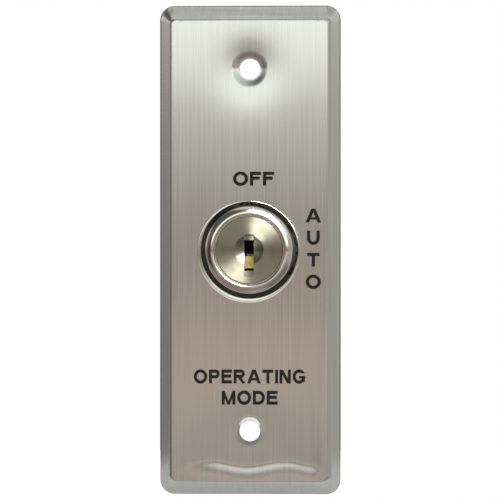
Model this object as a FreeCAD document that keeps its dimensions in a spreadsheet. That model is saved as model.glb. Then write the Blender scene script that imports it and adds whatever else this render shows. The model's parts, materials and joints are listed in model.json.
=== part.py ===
"""Selector key switch: a wafer lock in a narrow stamped wall plate works a snap switch behind it.

Millimetres. The wall is the plane Y = 0 and the plate stands proud of it towards -Y, which is the
front. +Z is up and +X is to the right of a person who faces the plate. The plug turns about the
Y axis. The origin is midway between the two wall screws, on the plug's axis.
"""
import FreeCAD, Part
import math
import os
import re
import Sketcher

# ---------------------------------------------------------------- driving dimensions
SIZES = {
    # stamped wall plate
    "plate_width": 41.7,
    "plate_height": 112.7,
    "plate_depth": 3.2,
    "plate_corner": 3.35,
    "face_corner": 0.9,
    "sheet": 1.0,
    "bevel_side": 2.5,
    "bevel_end": 3.2,
    "rim_width": 1.3,
    "rim_corner": 2.3,
    "inner_bevel_side": 3.12,
    "inner_bevel_end": 4.0,
    "inner_corner": 0.5,
    "wall_screw_pitch": 83.34,
    "wall_screw_hole": 2.4,
    "dimple_radius": 3.95,
    "merge": 0.5,
    # printed legends
    "ink": 0.05,
    "cap_height": 3.2,
    "legend_gap": 0.42,
    "off_across": 0.9,
    "off_height": 16.4,
    "auto_across": 14.65,
    "auto_top": 7.9,
    "auto_pitch": 5.07,
    "function_height": -29.1,
    "function_pitch": 4.87,
    "function_width": 25.7,
    "mode_width": 12.85,
    "off_width": 9.45,
    # lock barrel
    "barrel_radius": 9.525,
    "barrel_flat": 7.95,
    "barrel_end": 20.0,
    "barrel_bevel": 0.6,
    "head_radius": 11.2,
    "head_edge": 0.3,
    "dome_radius": 9.96,
    "dome_middle": 9.4,
    "dome_drop": 0.75,
    "dome_middle_drop": 0.3,
    "crest_radius": 8.4,
    "crest_height": 3.8,
    "lip_drop": 0.25,
    "counterbore_radius": 8.05,
    "counterbore_depth": 2.4,
    "bore_radius": 6.4,
    "wafer_groove_reach": 7.15,
    "wafer_groove_width": 5.4,
    "wafer_groove_end": 9.0,
    "stop_notch_depth": 1.3,
    "stop_notch_margin": 15.5,
    "panel_clearance": 0.1,
    # loose dress washer between the lock's head and the plate: it hangs a little off centre
    "dress_thickness": 0.45,
    "dress_outer": 11.8,
    "dress_land": 11.35,
    "dress_hole": 10.15,
    "dress_across": -0.25,
    "dress_up": -0.5,
    # barrel nut and washer
    "washer_thickness": 0.8,
    "washer_inner": 9.7,
    "washer_outer": 12.6,
    "slit_half_width": 0.45,
    "slit_start": 9.2,
    "slit_end": 10.9,
    "nut_thickness": 3.2,
    "nut_across_flats": 25.4,
    "nut_bore": 9.6,
    "nut_bevel": 1.6,
    "nut_bevel_start": 12.5,
    "nut_bevel_reach": 15.7,
    # plug
    "plug_radius": 6.35,
    "plug_head_radius": 7.7,
    "plug_face_drop": 0.6,
    "plug_head_gap": 0.2,
    "plug_edge": 0.1,
    "plug_end": 20.2,
    "dish_radius": 3.35,
    "dish_depth": 0.6,
    "key_width": 2.19,
    "key_top": 2.27,
    "key_bottom": 4.78,
    "key_end": 7.6,
    "shoulder_top": 3.57,
    "shoulder_bottom": 6.16,
    "shoulder_depth": 1.0,
    "tail_radius": 3.5,
    "tail_flat": 2.9,
    "tail_end": 24.0,
    "tail_fit": 0.05,
    "turn": 90.0,
    # wafers and their springs
    "wafer_first": -3.2,
    "wafer_pitch": 2.2,
    "wafer_thickness": 1.0,
    "wafer_half_width": 2.5,
    "wafer_top": 5.8,
    "wafer_bottom": 4.2,
    "wafer_fit": 0.05,
    "wafer_end_gap": 0.3,
    "window_half_width": 1.3,
    "window_top": 2.6,
    "tab_reach": 4.1,
    "tab_bottom": 0.9,
    "tab_top": 2.1,
    "spring_floor": 2.6,
    "spring_radius": 0.5,
    "spring_wire": 0.1,
    "spring_turns": 6.0,
    "spring_end_gap": 0.03,
    "spring_room": 0.22,
    "spring_pocket_gap": 0.1,
    # stop washer, cam and the screw that holds them
    "stop_radius": 8.8,
    "stop_thickness": 1.0,
    "stop_tab_inner": 7.0,
    "stop_tab_half": 1.6,
    "stop_tab_front": 18.9,
    "cam_low": 5.6,
    "cam_high": 7.4,
    "cam_thickness": 3.0,
    "cam_dwell": 20.0,
    "cam_fall_end": 195.0,
    "cam_washer": 0.6,
    "cam_washer_outer": 3.6,
    "cam_washer_play": 0.15,
    "cam_washer_split": 0.2,
    "cam_screw_head": 3.4,
    "cam_screw_head_height": 2.2,
    "cam_screw_shank": 1.95,
    "cam_screw_length": 8.8,
    "cam_screw_point": 0.4,
    "cam_screw_bevel": 0.35,
    "cam_screw_slot": 0.45,
    "cam_screw_slot_depth": 1.0,
    # bracket
    "bracket_sheet": 1.2,
    "bracket_half_width": 14.0,
    "bracket_bottom": -14.0,
    "bracket_top": 28.2,
    "bracket_depth": 17.55,
    "bracket_lip": 11.5,
    "bend_inside": 0.6,
    "foot_corner": 3.0,
    "lip_corner": 2.0,
    # snap switch
    "insulator": 0.25,
    "case_half_length": 13.9,
    "case_bottom": 11.0,
    "case_height": 15.9,
    "case_depth": 9.2,
    "case_wall": 1.25,
    "case_corner": 1.0,
    "cover_thickness": 1.0,
    "mount_across": 11.1,
    "mount_low": 13.8,
    "mount_high": 24.1,
    "mount_hole": 1.55,
    "mount_boss": 2.7,
    "mid_depth": 22.7,
    "pivot_across": -10.5,
    "pivot_height": 9.5,
    "pivot_radius": 0.7,
    "ear_thickness": 1.2,
    "ear_drop": 1.1,
    "ear_half_width": 1.6,
    "ear_gap": 0.3,
    "lever_width": 2.6,
    "lever_sheet": 0.4,
    "lever_loop": 1.25,
    "lever_bore": 0.75,
    "roller_radius": 2.5,
    "roller_height": 8.2,
    "plunger_across": -3.4,
    "plunger_radius": 1.5,
    "plunger_tip": 8.74,
    "plunger_tip_radius": 0.5,
    "plunger_cone": 0.6,
    "plunger_collar": 2.1,
    "plunger_collar_height": 0.9,
    "plunger_post": 0.8,
    "plunger_top": 15.0,
    "blade_height": 16.0,
    "blade_sheet": 0.3,
    "blade_right": 7.2,
    "blade_width": 3.0,
    "blade_pivot": -8.5,
    "blade_roll": 0.4,
    "bow_left": -5.2,
    "bow_right": 4.4,
    "bow_foot": 0.8,
    "bow_rise": 0.9,
    "bow_sheet": 0.2,
    "bow_width": 1.2,
    "contact_across": 6.0,
    "contact_radius": 1.2,
    "contact_height": 0.5,
    "contact_gap": 0.1,
    "contact_travel": 1.0,
    "tab_width": 4.75,
    "tab_thickness": 0.8,
    "tab_length": 6.3,
    "tab_inner_end": 4.0,
    "tab_hole": 0.85,
    "tab_eye": 2.6,
    "tab_bevel": 1.0,
    "tab_fit": 0.02,
    "common_gap": 0.35,
    "common_across": -8.0,
    # switch fixings
    "machine_screw": 1.45,
    "machine_head": 2.6,
    "machine_head_height": 1.8,
    "machine_crown": 0.7,
    "machine_slot": 0.35,
    "machine_slot_depth": 0.9,
    "machine_screw_end": 31.0,
    "machine_nut_flats": 5.5,
    "machine_nut_height": 2.3,
}

# places along Y, as expressions of the driving dimensions
FRONT = "(-plate_depth)"
SHEET_BACK = "(sheet - plate_depth)"
HEAD_BACK = "(-plate_depth - dress_thickness)"
CREST = "(-plate_depth - crest_height)"
FACE = "(-plate_depth - crest_height + plug_face_drop)"
SEAT = "(-plate_depth - crest_height + counterbore_depth)"
BRACKET_BACK = f"({SHEET_BACK} + bracket_sheet)"
WASHER_BACK = f"({BRACKET_BACK} + washer_thickness)"
NUT_BACK = f"({WASHER_BACK} + nut_thickness)"
STOP_BACK = "(plug_end + stop_thickness)"
CAM_BACK = f"({STOP_BACK} + cam_thickness)"
CAM_WASHER_BACK = f"({CAM_BACK} + cam_washer)"
CASE_FRONT = "(bracket_depth + insulator)"
CASE_BACK = f"({CASE_FRONT} + case_depth)"
COVER_BACK = f"({CASE_BACK} + cover_thickness)"
CASE_TOP = "(case_bottom + case_height)"
LEVER_FRONT = "(mid_depth - lever_width / 2)"
LEVER_BACK = "(mid_depth + lever_width / 2)"
FRONT_EAR = f"({LEVER_FRONT} - ear_gap - ear_thickness)"
REAR_EAR = f"({LEVER_BACK} + ear_gap)"
EARS_BACK = f"({REAR_EAR} + ear_thickness)"
BLADE_TOP = "(blade_height + blade_sheet)"
CLOSED_TOP = "(blade_height - contact_height - contact_gap)"
OPEN_BOTTOM = f"({BLADE_TOP} + contact_height + contact_travel + contact_gap)"
CLOSED_TAB = f"({CLOSED_TOP} - contact_height - tab_thickness)"
OPEN_TAB = f"({OPEN_BOTTOM} + contact_height)"

# lower edge of each wafer's key window: the heights of the cuts on the key
WINDOW_EDGES = (-1.46, -2.3, -0.9, -1.9, -1.2)

WASHER_TEETH = 16

doc = FreeCAD.newDocument("selector_key_switch")
sheet = doc.addObject("Spreadsheet::Sheet", "sizes")
for row, (alias, number) in enumerate(SIZES.items(), start=1):
    sheet.set(f"A{row}", alias)
    sheet.set(f"B{row}", str(number))
    sheet.setAlias(f"B{row}", alias)
doc.recompute()

subparts = []

CLOSE = 1e-3  # millimetres, or cubic millimetres, within which two values are the same
ALIGNED = 0.999  # least share of an edge's direction that makes it run along an axis


# ---------------------------------------------------------------- small helpers
def linked(text):
    """An expression in which each driving dimension is read from the sheet."""
    return re.sub(r"[a-z_]+", lambda word: f"sizes.{word[0]}" if word[0] in SIZES else word[0], text)


def value(text):
    """The expression's value now."""
    result = sheet.evalExpression(linked(text))
    return float(getattr(result, "Value", result))


def keep(item, label):
    """Make item a sub-part: its label names its node and its file."""
    item.Label = label
    subparts.append(item)
    return item


def new_body(label):
    return keep(doc.addObject("PartDesign::Body", label), label)


def polygon(sketch, points):
    """A closed outline of straight lines through points, which are pairs of expressions."""
    corners = [FreeCAD.Vector(value(x), value(y), 0) for x, y in points]
    count = len(corners)
    first = sketch.GeometryCount
    for index in range(count):
        sketch.addGeometry(Part.LineSegment(corners[index], corners[(index + 1) % count]))
    for index in range(count):
        line = first + index
        following = first + (index + 1) % count
        sketch.addConstraint(Sketcher.Constraint("Coincident", line, 2, following, 1))
        for kind, text in zip(("DistanceX", "DistanceY"), points[index]):
            constraint = sketch.addConstraint(Sketcher.Constraint(kind, -1, 1, line, 1, value(text)))
            sketch.setExpression(f"Constraints[{constraint}]", linked(text))


def rectangle(sketch, left, right, low, high):
    polygon(sketch, [(left, low), (right, low), (right, high), (left, high)])


def circle(sketch, across, up, radius):
    centre = FreeCAD.Vector(value(across), value(up), 0)
    ring = sketch.addGeometry(Part.Circle(centre, FreeCAD.Vector(0, 0, 1), value(radius)))
    for kind, text in (("DistanceX", across), ("DistanceY", up)):
        constraint = sketch.addConstraint(Sketcher.Constraint(kind, -1, 1, ring, 3, value(text)))
        sketch.setExpression(f"Constraints[{constraint}]", linked(text))
    constraint = sketch.addConstraint(Sketcher.Constraint("Radius", ring, value(radius)))
    sketch.setExpression(f"Constraints[{constraint}]", linked(radius))


def arc(sketch, across, up, radius, start, end):
    """A constrained arc whose centre and radius are expressions; its angles are in degrees."""
    centre = FreeCAD.Vector(value(across), value(up), 0)
    whole = Part.Circle(centre, FreeCAD.Vector(0, 0, 1), value(radius))
    index = sketch.addGeometry(Part.ArcOfCircle(whole, math.radians(start), math.radians(end)))
    for kind, text in (("DistanceX", across), ("DistanceY", up)):
        constraint = sketch.addConstraint(Sketcher.Constraint(kind, -1, 1, index, 3, value(text)))
        sketch.setExpression(f"Constraints[{constraint}]", linked(text))
    constraint = sketch.addConstraint(Sketcher.Constraint("Radius", index, value(radius)))
    sketch.setExpression(f"Constraints[{constraint}]", linked(radius))
    return index


def rounded_rectangle(sketch, half_width, half_height, radius):
    """A rectangle about the sketch's origin, with corners rounded by radius."""
    arcs = []
    for turn, (side, level) in enumerate(((1, 1), (-1, 1), (-1, -1), (1, -1))):
        across = f"{side} * ({half_width} - {radius})"
        up = f"{level} * ({half_height} - {radius})"
        arcs.append(arc(sketch, across, up, radius, 90 * turn, 90 * turn + 90))
    for index in range(4):
        start = sketch.Geometry[arcs[index]].EndPoint
        end = sketch.Geometry[arcs[(index + 1) % 4]].StartPoint
        line = sketch.addGeometry(Part.LineSegment(start, end))
        sketch.addConstraint(Sketcher.Constraint("Tangent", arcs[index], 2, line, 1))
        sketch.addConstraint(Sketcher.Constraint("Tangent", line, 2, arcs[(index + 1) % 4], 1))


def double_d(sketch, radius, flat):
    """A circle about the sketch's origin with a flat on its left and on its right."""
    spread = math.degrees(math.acos(value(flat) / value(radius)))
    ends = []
    for start, side in ((spread, 1), (180 + spread, -1)):
        index = arc(sketch, "0", "0", radius, start, start + 180 - 2 * spread)
        for end, reach in ((1, side), (2, -side)):
            text = f"{reach} * {flat}"
            reach_rule = Sketcher.Constraint("DistanceX", -1, 1, index, end, value(text))
            constraint = sketch.addConstraint(reach_rule)
            sketch.setExpression(f"Constraints[{constraint}]", linked(text))
        ends.append(index)
    for index, other in (ends, ends[::-1]):
        start = sketch.Geometry[index].EndPoint
        end = sketch.Geometry[other].StartPoint
        line = sketch.addGeometry(Part.LineSegment(start, end))
        sketch.addConstraint(Sketcher.Constraint("Coincident", line, 1, index, 2))
        sketch.addConstraint(Sketcher.Constraint("Coincident", line, 2, other, 1))


# Each direction's origin plane, the sign of that plane's normal along it, and how a sketch on it
# reads: along Y a sketch shows X and Z, along Z it shows X and Y, and along X it shows Y and Z.
PLANES = {"X": ("YZ_Plane", 1), "Y": ("XZ_Plane", -1), "Z": ("XY_Plane", 1)}


def sketch_at(body, name, direction, place):
    """A sketch across a direction, at a place along it."""
    role, sign = PLANES[direction]
    plane = next(feature for feature in body.Origin.OriginFeatures if feature.Role == role)
    sketch = body.newObject("Sketcher::SketchObject", name)
    sketch.AttachmentSupport = [(plane, "")]
    sketch.MapMode = "FlatFace"
    sketch.setExpression("AttachmentOffset.Base.z", linked(f"{sign} * ({place})"))
    return sketch


def add(body, name, direction, low, high, draw):
    """Pad what draw sketches, between two places along a direction."""
    sketch = sketch_at(body, f"{name}_outline", direction, low if PLANES[direction][1] > 0 else high)
    draw(sketch)
    pad = body.newObject("PartDesign::Pad", name)
    pad.Profile = sketch
    pad.setExpression("Length", linked(f"({high}) - ({low})"))
    return pad


def cut(body, name, direction, low, high, draw):
    """Pocket what draw sketches, between two places along a direction, and check that it cuts."""
    doc.recompute()
    before = body.Shape.Volume
    sketch = sketch_at(body, f"{name}_outline", direction, high if PLANES[direction][1] > 0 else low)
    draw(sketch)
    pocket = body.newObject("PartDesign::Pocket", name)
    pocket.Profile = sketch
    pocket.setExpression("Length", linked(f"({high}) - ({low})"))
    doc.recompute()
    if body.Shape.Volume > before - CLOSE:
        raise RuntimeError(f"{body.Label}: {name} cuts nothing")
    return pocket


def turn_profile(body, name, kind, direction, points, across="0", depth="0"):
    """Turn an outline of (place along the axis, radius) pairs about the Y axis or an upright axis."""
    if direction == "Y":
        sketch = sketch_at(body, f"{name}_outline", "X", across)
        polygon(sketch, points)
        axis = "H_Axis"
    else:
        sketch = sketch_at(body, f"{name}_outline", "Y", depth)
        sketch.setExpression("AttachmentOffset.Base.x", linked(across))
        polygon(sketch, [(radius, place) for place, radius in points])
        axis = "V_Axis"
    feature = body.newObject(f"PartDesign::{kind}", name)
    feature.Profile = sketch
    feature.ReferenceAxis = (sketch, [axis])
    feature.Angle = 360
    return feature


def edges_where(shape, test):
    """Names of the straight or round edges whose middle point passes the test."""
    names = []
    for number, edge in enumerate(shape.Edges, start=1):
        middle = edge.valueAt((edge.FirstParameter + edge.LastParameter) / 2)
        if test(edge, middle):
            names.append(f"Edge{number}")
    return names


def round_edges(body, name, radius, test):
    """Round the edges that pass the test."""
    doc.recompute()
    names = edges_where(body.Shape, test)
    if not names:
        raise RuntimeError(f"{body.Label}: {name} finds no edge")
    base = body.Tip
    fillet = body.newObject("PartDesign::Fillet", name)
    fillet.Base = (base, names)
    fillet.setExpression("Radius", linked(radius))
    return fillet


def along_y(edge):
    return abs(edge.tangentAt(edge.FirstParameter).y) > ALIGNED


def hexagon(sketch, across, up, flats):
    """A hexagon that stands on a corner."""
    corner = f"({flats} / sqrt(3))"
    points = []
    for index in range(6):
        turn = f"{60 * index + 30} deg"
        points.append((f"{across} + {corner} * cos({turn})", f"{up} + {corner} * sin({turn})"))
    polygon(sketch, points)


def panel_hole(sketch):
    """The double-D hole that the barrel passes through without turning."""
    double_d(sketch, "(barrel_radius + panel_clearance)", "(barrel_flat + panel_clearance)")


# ---------------------------------------------------------------- wall plate
def plate_loft(body, name, kind, rear, front):
    """A straight-sided loft between two rounded rectangles, one at each end of the bevel.

    Each is given by its place along Y, its insets from the plate's sides and ends, and its corner radius.
    """
    sections = []
    for end, (place, side_inset, end_inset, corner) in (("rear", rear), ("front", front)):
        sketch = sketch_at(body, f"{name}_{end}", "Y", place)
        half_width = f"(plate_width / 2 - {side_inset})"
        half_height = f"(plate_height / 2 - {end_inset})"
        rounded_rectangle(sketch, half_width, half_height, corner)
        sections.append(sketch)
    loft = body.newObject(f"PartDesign::{kind}", name)
    loft.Profile = sections[0]
    loft.Sections = [sections[1]]
    loft.Ruled = True
    return loft


def make_face_plate():
    """Sheet steel with its edge bevelled back to the wall, two dimpled screw holes and the lock hole."""
    body = new_body("face_plate")
    wall = ("0", "0", "0", "plate_corner")
    face = (FRONT, "bevel_side", "bevel_end", "face_corner")
    plate_loft(body, "shell", "AdditiveLoft", wall, face)
    rim = ("0", "rim_width", "rim_width", "rim_corner")
    ceiling = (SHEET_BACK, "inner_bevel_side", "inner_bevel_end", "inner_corner")
    plate_loft(body, "hollow", "SubtractiveLoft", rim, ceiling)
    for name, side in (("upper", 1), ("lower", -1)):
        height = f"{side} * wall_screw_pitch / 2"
        dimple_back = f"({FRONT} + dimple_radius - wall_screw_hole)"

        def dimple_outline(sketch):
            circle(sketch, "0", height, "dimple_radius")

        add(body, f"{name}_boss", "Y", f"({SHEET_BACK} - merge)", "0", dimple_outline)
        dimple = cut(body, f"{name}_dimple", "Y", FRONT, dimple_back, dimple_outline)
        dimple.TaperAngle = -45
        cut(body, f"{name}_hole", "Y", FRONT, "0", lambda s: circle(s, "0", height, "wall_screw_hole"))
    cut(body, "lock_hole", "Y", FRONT, SHEET_BACK, panel_hole)


# ---------------------------------------------------------------- printed legends
# Letters are drawn in units of the cap height, from the left end of the base line, with strokes
# a fifth of that height wide. LETTER_WIDTHS are for upright block capitals of medium weight.
STROKE = 0.235
LETTER_WIDTHS = {
    "A": 1.08, "D": 0.94, "E": 0.84, "F": 0.8, "G": 1.04, "I": 0.2, "M": 1.06,
    "N": 0.92, "O": 1.08, "P": 0.86, "R": 0.96, "T": 0.88, "U": 0.92,
}


def flat_face(points):
    corners = [FreeCAD.Vector(x, 0, z) for x, z in points]
    return Part.Face(Part.makePolygon(corners + corners[:1]))


def block(left, low, right, high):
    return flat_face([(left, low), (right, low), (right, high), (left, high)])


def slant(foot, head, low=0.0, high=1.0, weight=STROKE):
    """A slanted stroke between two heights, cut off level at both of them."""
    half = weight / 2 * math.hypot(head - foot, high - low) / (high - low)
    return flat_face([(foot - half, low), (foot + half, low), (head + half, high), (head - half, high)])


def ellipse(centre_x, centre_z, half_width, half_height):
    """A filled ellipse whose axes are level and upright."""
    disc = Part.Face(Part.Wire(Part.makeCircle(1, FreeCAD.Vector(), FreeCAD.Vector(0, -1, 0))))
    scaling = FreeCAD.Matrix()
    scaling.A11 = half_width
    scaling.A33 = half_height
    scaling.A14 = centre_x
    scaling.A34 = centre_z
    return disc.transformGeometry(scaling)


def loop(centre_x, centre_z, half_width, half_height):
    """An elliptical band one stroke wide."""
    outer = ellipse(centre_x, centre_z, half_width, half_height)
    return outer.cut(ellipse(centre_x, centre_z, half_width - STROKE, half_height - STROKE))


def bowl(left, right, low, high):
    """The closed right-hand lobe of a D, P or R: two level strokes joined by half a band."""
    radius = (high - low) / 2
    centre = right - radius
    half_band = loop(centre, low + radius, radius, radius).common(block(centre, low, right, high))
    bars = [block(left, low, centre, low + STROKE), block(left, high - STROKE, centre, high)]
    return [half_band] + bars


def letter_strokes(letter):
    """The overlapping faces that make up one letter."""
    width = LETTER_WIDTHS[letter]
    middle = width / 2
    stem = block(0, 0, STROKE, 1)
    top_bar = block(0, 1 - STROKE, width, 1)
    if letter == "I":
        return [stem]
    if letter == "T":
        return [top_bar, block(middle - STROKE / 2, 0, middle + STROKE / 2, 1)]
    if letter == "F":
        return [stem, top_bar, block(0, 0.42, width - 0.1, 0.42 + STROKE)]
    if letter == "E":
        middle_bar = block(0, 0.41, width - 0.06, 0.41 + STROKE)
        return [stem, top_bar, middle_bar, block(0, 0, width, STROKE)]
    if letter == "O":
        return [loop(middle, 0.5, middle, 0.52)]
    if letter == "D":
        return [stem] + bowl(0, width, 0, 1)
    if letter == "P":
        return [stem] + bowl(0, width, 0.36, 1)
    if letter == "R":
        return [stem] + bowl(0, width - 0.06, 0.4, 1) + [slant(width - 0.13, 0.48, 0, 0.42, 0.22)]
    if letter == "A":
        legs = [slant(0.11, middle - 0.02), slant(width - 0.11, middle + 0.02)]
        return legs + [block(0.25, 0.22, width - 0.25, 0.22 + 0.17)]
    if letter == "N":
        return [stem, block(width - STROKE, 0, width, 1), slant(width - 0.14, 0.14)]
    if letter == "M":
        uprights = [stem, block(width - STROKE, 0, width, 1)]
        return uprights + [slant(middle, 0.12, 0, 1, 0.18), slant(middle, width - 0.12, 0, 1, 0.18)]
    if letter == "U":
        low_band = loop(middle, middle, middle, middle + 0.02).common(block(0, -0.1, width, middle))
        return [low_band, block(0, middle, STROKE, 1), block(width - STROKE, middle, width, 1)]
    if letter == "G":
        opening = block(middle, 0.5, width + 0.1, 0.74)
        right = width - 0.04
        lip = [block(middle, 0.36, right, 0.55), block(right - STROKE, 0.12, right, 0.55)]
        return [loop(middle, 0.5, middle, 0.52).cut(opening)] + lip
    raise ValueError(letter)


def fused_slab(faces, direction):
    """One solid: flat faces that overlap each other, each given a thickness and then joined."""
    slabs = [face.extrude(direction) for face in faces]
    joined = slabs[0].multiFuse(slabs[1:]).removeSplitter() if len(slabs) > 1 else slabs[0]
    return joined.Solids[0]


def letter_solid(letter, left, base, width_scale):
    """One printed letter on the front of the plate."""
    scaling = FreeCAD.Matrix()
    scaling.A11 = value("cap_height") * width_scale
    scaling.A33 = value("cap_height")
    scaling.A14 = left
    scaling.A34 = base
    strokes = [face.transformGeometry(scaling) for face in letter_strokes(letter)]
    printed = fused_slab(strokes, FreeCAD.Vector(0, -value("ink"), 0))
    printed.translate(FreeCAD.Vector(0, value(FRONT), 0))
    return printed


def word_solids(word, centre, base, total_width):
    """A level word, its letters widened or narrowed together to fill total_width."""
    gap = value("legend_gap")
    natural = sum(LETTER_WIDTHS[letter] for letter in word) * value("cap_height")
    width_scale = (total_width - gap * (len(word) - 1)) / natural
    left = centre - total_width / 2
    solids = []
    for letter in word:
        solids.append(letter_solid(letter, left, base, width_scale))
        left += LETTER_WIDTHS[letter] * value("cap_height") * width_scale + gap
    return solids


def make_legends():
    """The two switch positions beside the lock, and below them what the switch selects."""
    half_cap = value("cap_height") / 2
    column = []
    for index, letter in enumerate("AUTO"):
        height = value("auto_top") - index * value("auto_pitch")
        width = LETTER_WIDTHS[letter] * value("cap_height")
        column += word_solids(letter, value("auto_across"), height - half_cap, width)
    function = word_solids("OPERATING", 0, value("function_height") - half_cap, value("function_width"))
    second_line = value("function_height - function_pitch")
    function += word_solids("MODE", 0, second_line - half_cap, value("mode_width"))
    off_foot = value("off_height") - half_cap
    legends = {
        "legend_off": word_solids("OFF", value("off_across"), off_foot, value("off_width")),
        "legend_auto": column,
        "legend_function": function,
    }
    for label, solids in legends.items():
        legend = keep(doc.addObject("Part::Feature", label), label)
        legend.Shape = Part.makeCompound(solids)


# ---------------------------------------------------------------- lock barrel and what clamps it
def notch_outline(sketch):
    """The sector that the stop tab sweeps, a little wider at both ends than the tab."""
    reach = "(barrel_radius * 2)"
    begin = "180 - stop_notch_margin"
    end = "180 + turn + stop_notch_margin"
    points = [("0", "0")]
    for place in (0, 0.5, 1):
        bearing = f"(({begin}) + {place} * (({end}) - ({begin}))) * 1 deg"
        points.append((f"{reach} * sin({bearing})", f"{reach} * cos({bearing})"))
    polygon(sketch, points)


def make_lock_barrel():
    """Barrel with a domed head, two flats, a wafer groove for each position, and a stop notch."""
    body = new_body("lock_barrel")
    turn_profile(
        body, "turning", "Revolution", "Y",
        [
            (HEAD_BACK, "barrel_radius"),
            (HEAD_BACK, "head_radius"),
            (f"({HEAD_BACK} - head_edge)", "head_radius"),
            (f"({CREST} + dome_drop)", "dome_radius"),
            (f"({CREST} + dome_middle_drop)", "dome_middle"),
            (CREST, "crest_radius"),
            (f"({CREST} + lip_drop)", "counterbore_radius"),
            (SEAT, "counterbore_radius"),
            (SEAT, "bore_radius"),
            ("barrel_end", "bore_radius"),
            ("barrel_end", "(barrel_radius - barrel_bevel)"),
            ("(barrel_end - barrel_bevel)", "barrel_radius"),
        ],
    )
    for name, side in (("left_flat", -1), ("right_flat", 1)):
        near = f"{side} * barrel_flat"
        far = f"{side} * 2 * barrel_flat"
        cut(body, name, "Y", HEAD_BACK, "barrel_end",
            lambda s: rectangle(s, near, far, "-barrel_radius", "barrel_radius"))
    half_groove = "(wafer_groove_width / 2)"
    cut(body, "off_groove", "Y", SEAT, "wafer_groove_end",
        lambda s: rectangle(s, f"-{half_groove}", half_groove, "0", "wafer_groove_reach"))
    cut(body, "auto_groove", "Y", SEAT, "wafer_groove_end",
        lambda s: rectangle(s, "0", "wafer_groove_reach", f"-{half_groove}", half_groove))
    cut(body, "stop_notch", "Y", "(barrel_end - stop_notch_depth)", "barrel_end", notch_outline)


def make_dress_washer():
    """Loose washer under the lock's head: its hole rests on top of the barrel."""
    body = new_body("dress_washer")
    turn_profile(
        body, "turning", "Revolution", "Y",
        [
            (FRONT, "dress_hole"),
            (FRONT, "dress_outer"),
            (HEAD_BACK, "dress_land"),
            (HEAD_BACK, "dress_hole"),
        ],
    )
    body.setExpression("Placement.Base.x", linked("dress_across"))
    body.setExpression("Placement.Base.z", linked("dress_up"))


def make_barrel_lock_washer():
    """Flat washer with teeth on its inner edge."""
    body = new_body("barrel_lock_washer")

    def ring(sketch):
        circle(sketch, "0", "0", "washer_outer")
        circle(sketch, "0", "0", "washer_inner")

    add(body, "ring", "Y", BRACKET_BACK, WASHER_BACK, ring)
    slit = cut(body, "slit", "Y", BRACKET_BACK, WASHER_BACK,
               lambda s: rectangle(s, "-slit_half_width", "slit_half_width", "slit_start", "slit_end"))
    teeth = body.newObject("PartDesign::PolarPattern", "teeth")
    teeth.Originals = [slit]
    teeth.Axis = (slit.Profile[0], ["N_Axis"])
    teeth.Angle = 360
    teeth.Occurrences = WASHER_TEETH
    body.Tip = teeth


def make_barrel_nut():
    """Thin panel nut with bevelled corners."""
    body = new_body("barrel_nut")

    def outline(sketch):
        hexagon(sketch, "0", "0", "nut_across_flats")
        circle(sketch, "0", "0", "nut_bore")

    add(body, "hexagon", "Y", WASHER_BACK, NUT_BACK, outline)
    turn_profile(
        body, "corners", "Groove", "Y",
        [
            (NUT_BACK, "nut_bevel_start"),
            (NUT_BACK, "nut_bevel_reach"),
            (f"({NUT_BACK} - nut_bevel)", "nut_bevel_reach"),
        ],
    )


# ---------------------------------------------------------------- plug and its wafers
def wafer_place(index):
    return f"(wafer_first + {index} * wafer_pitch)"


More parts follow.
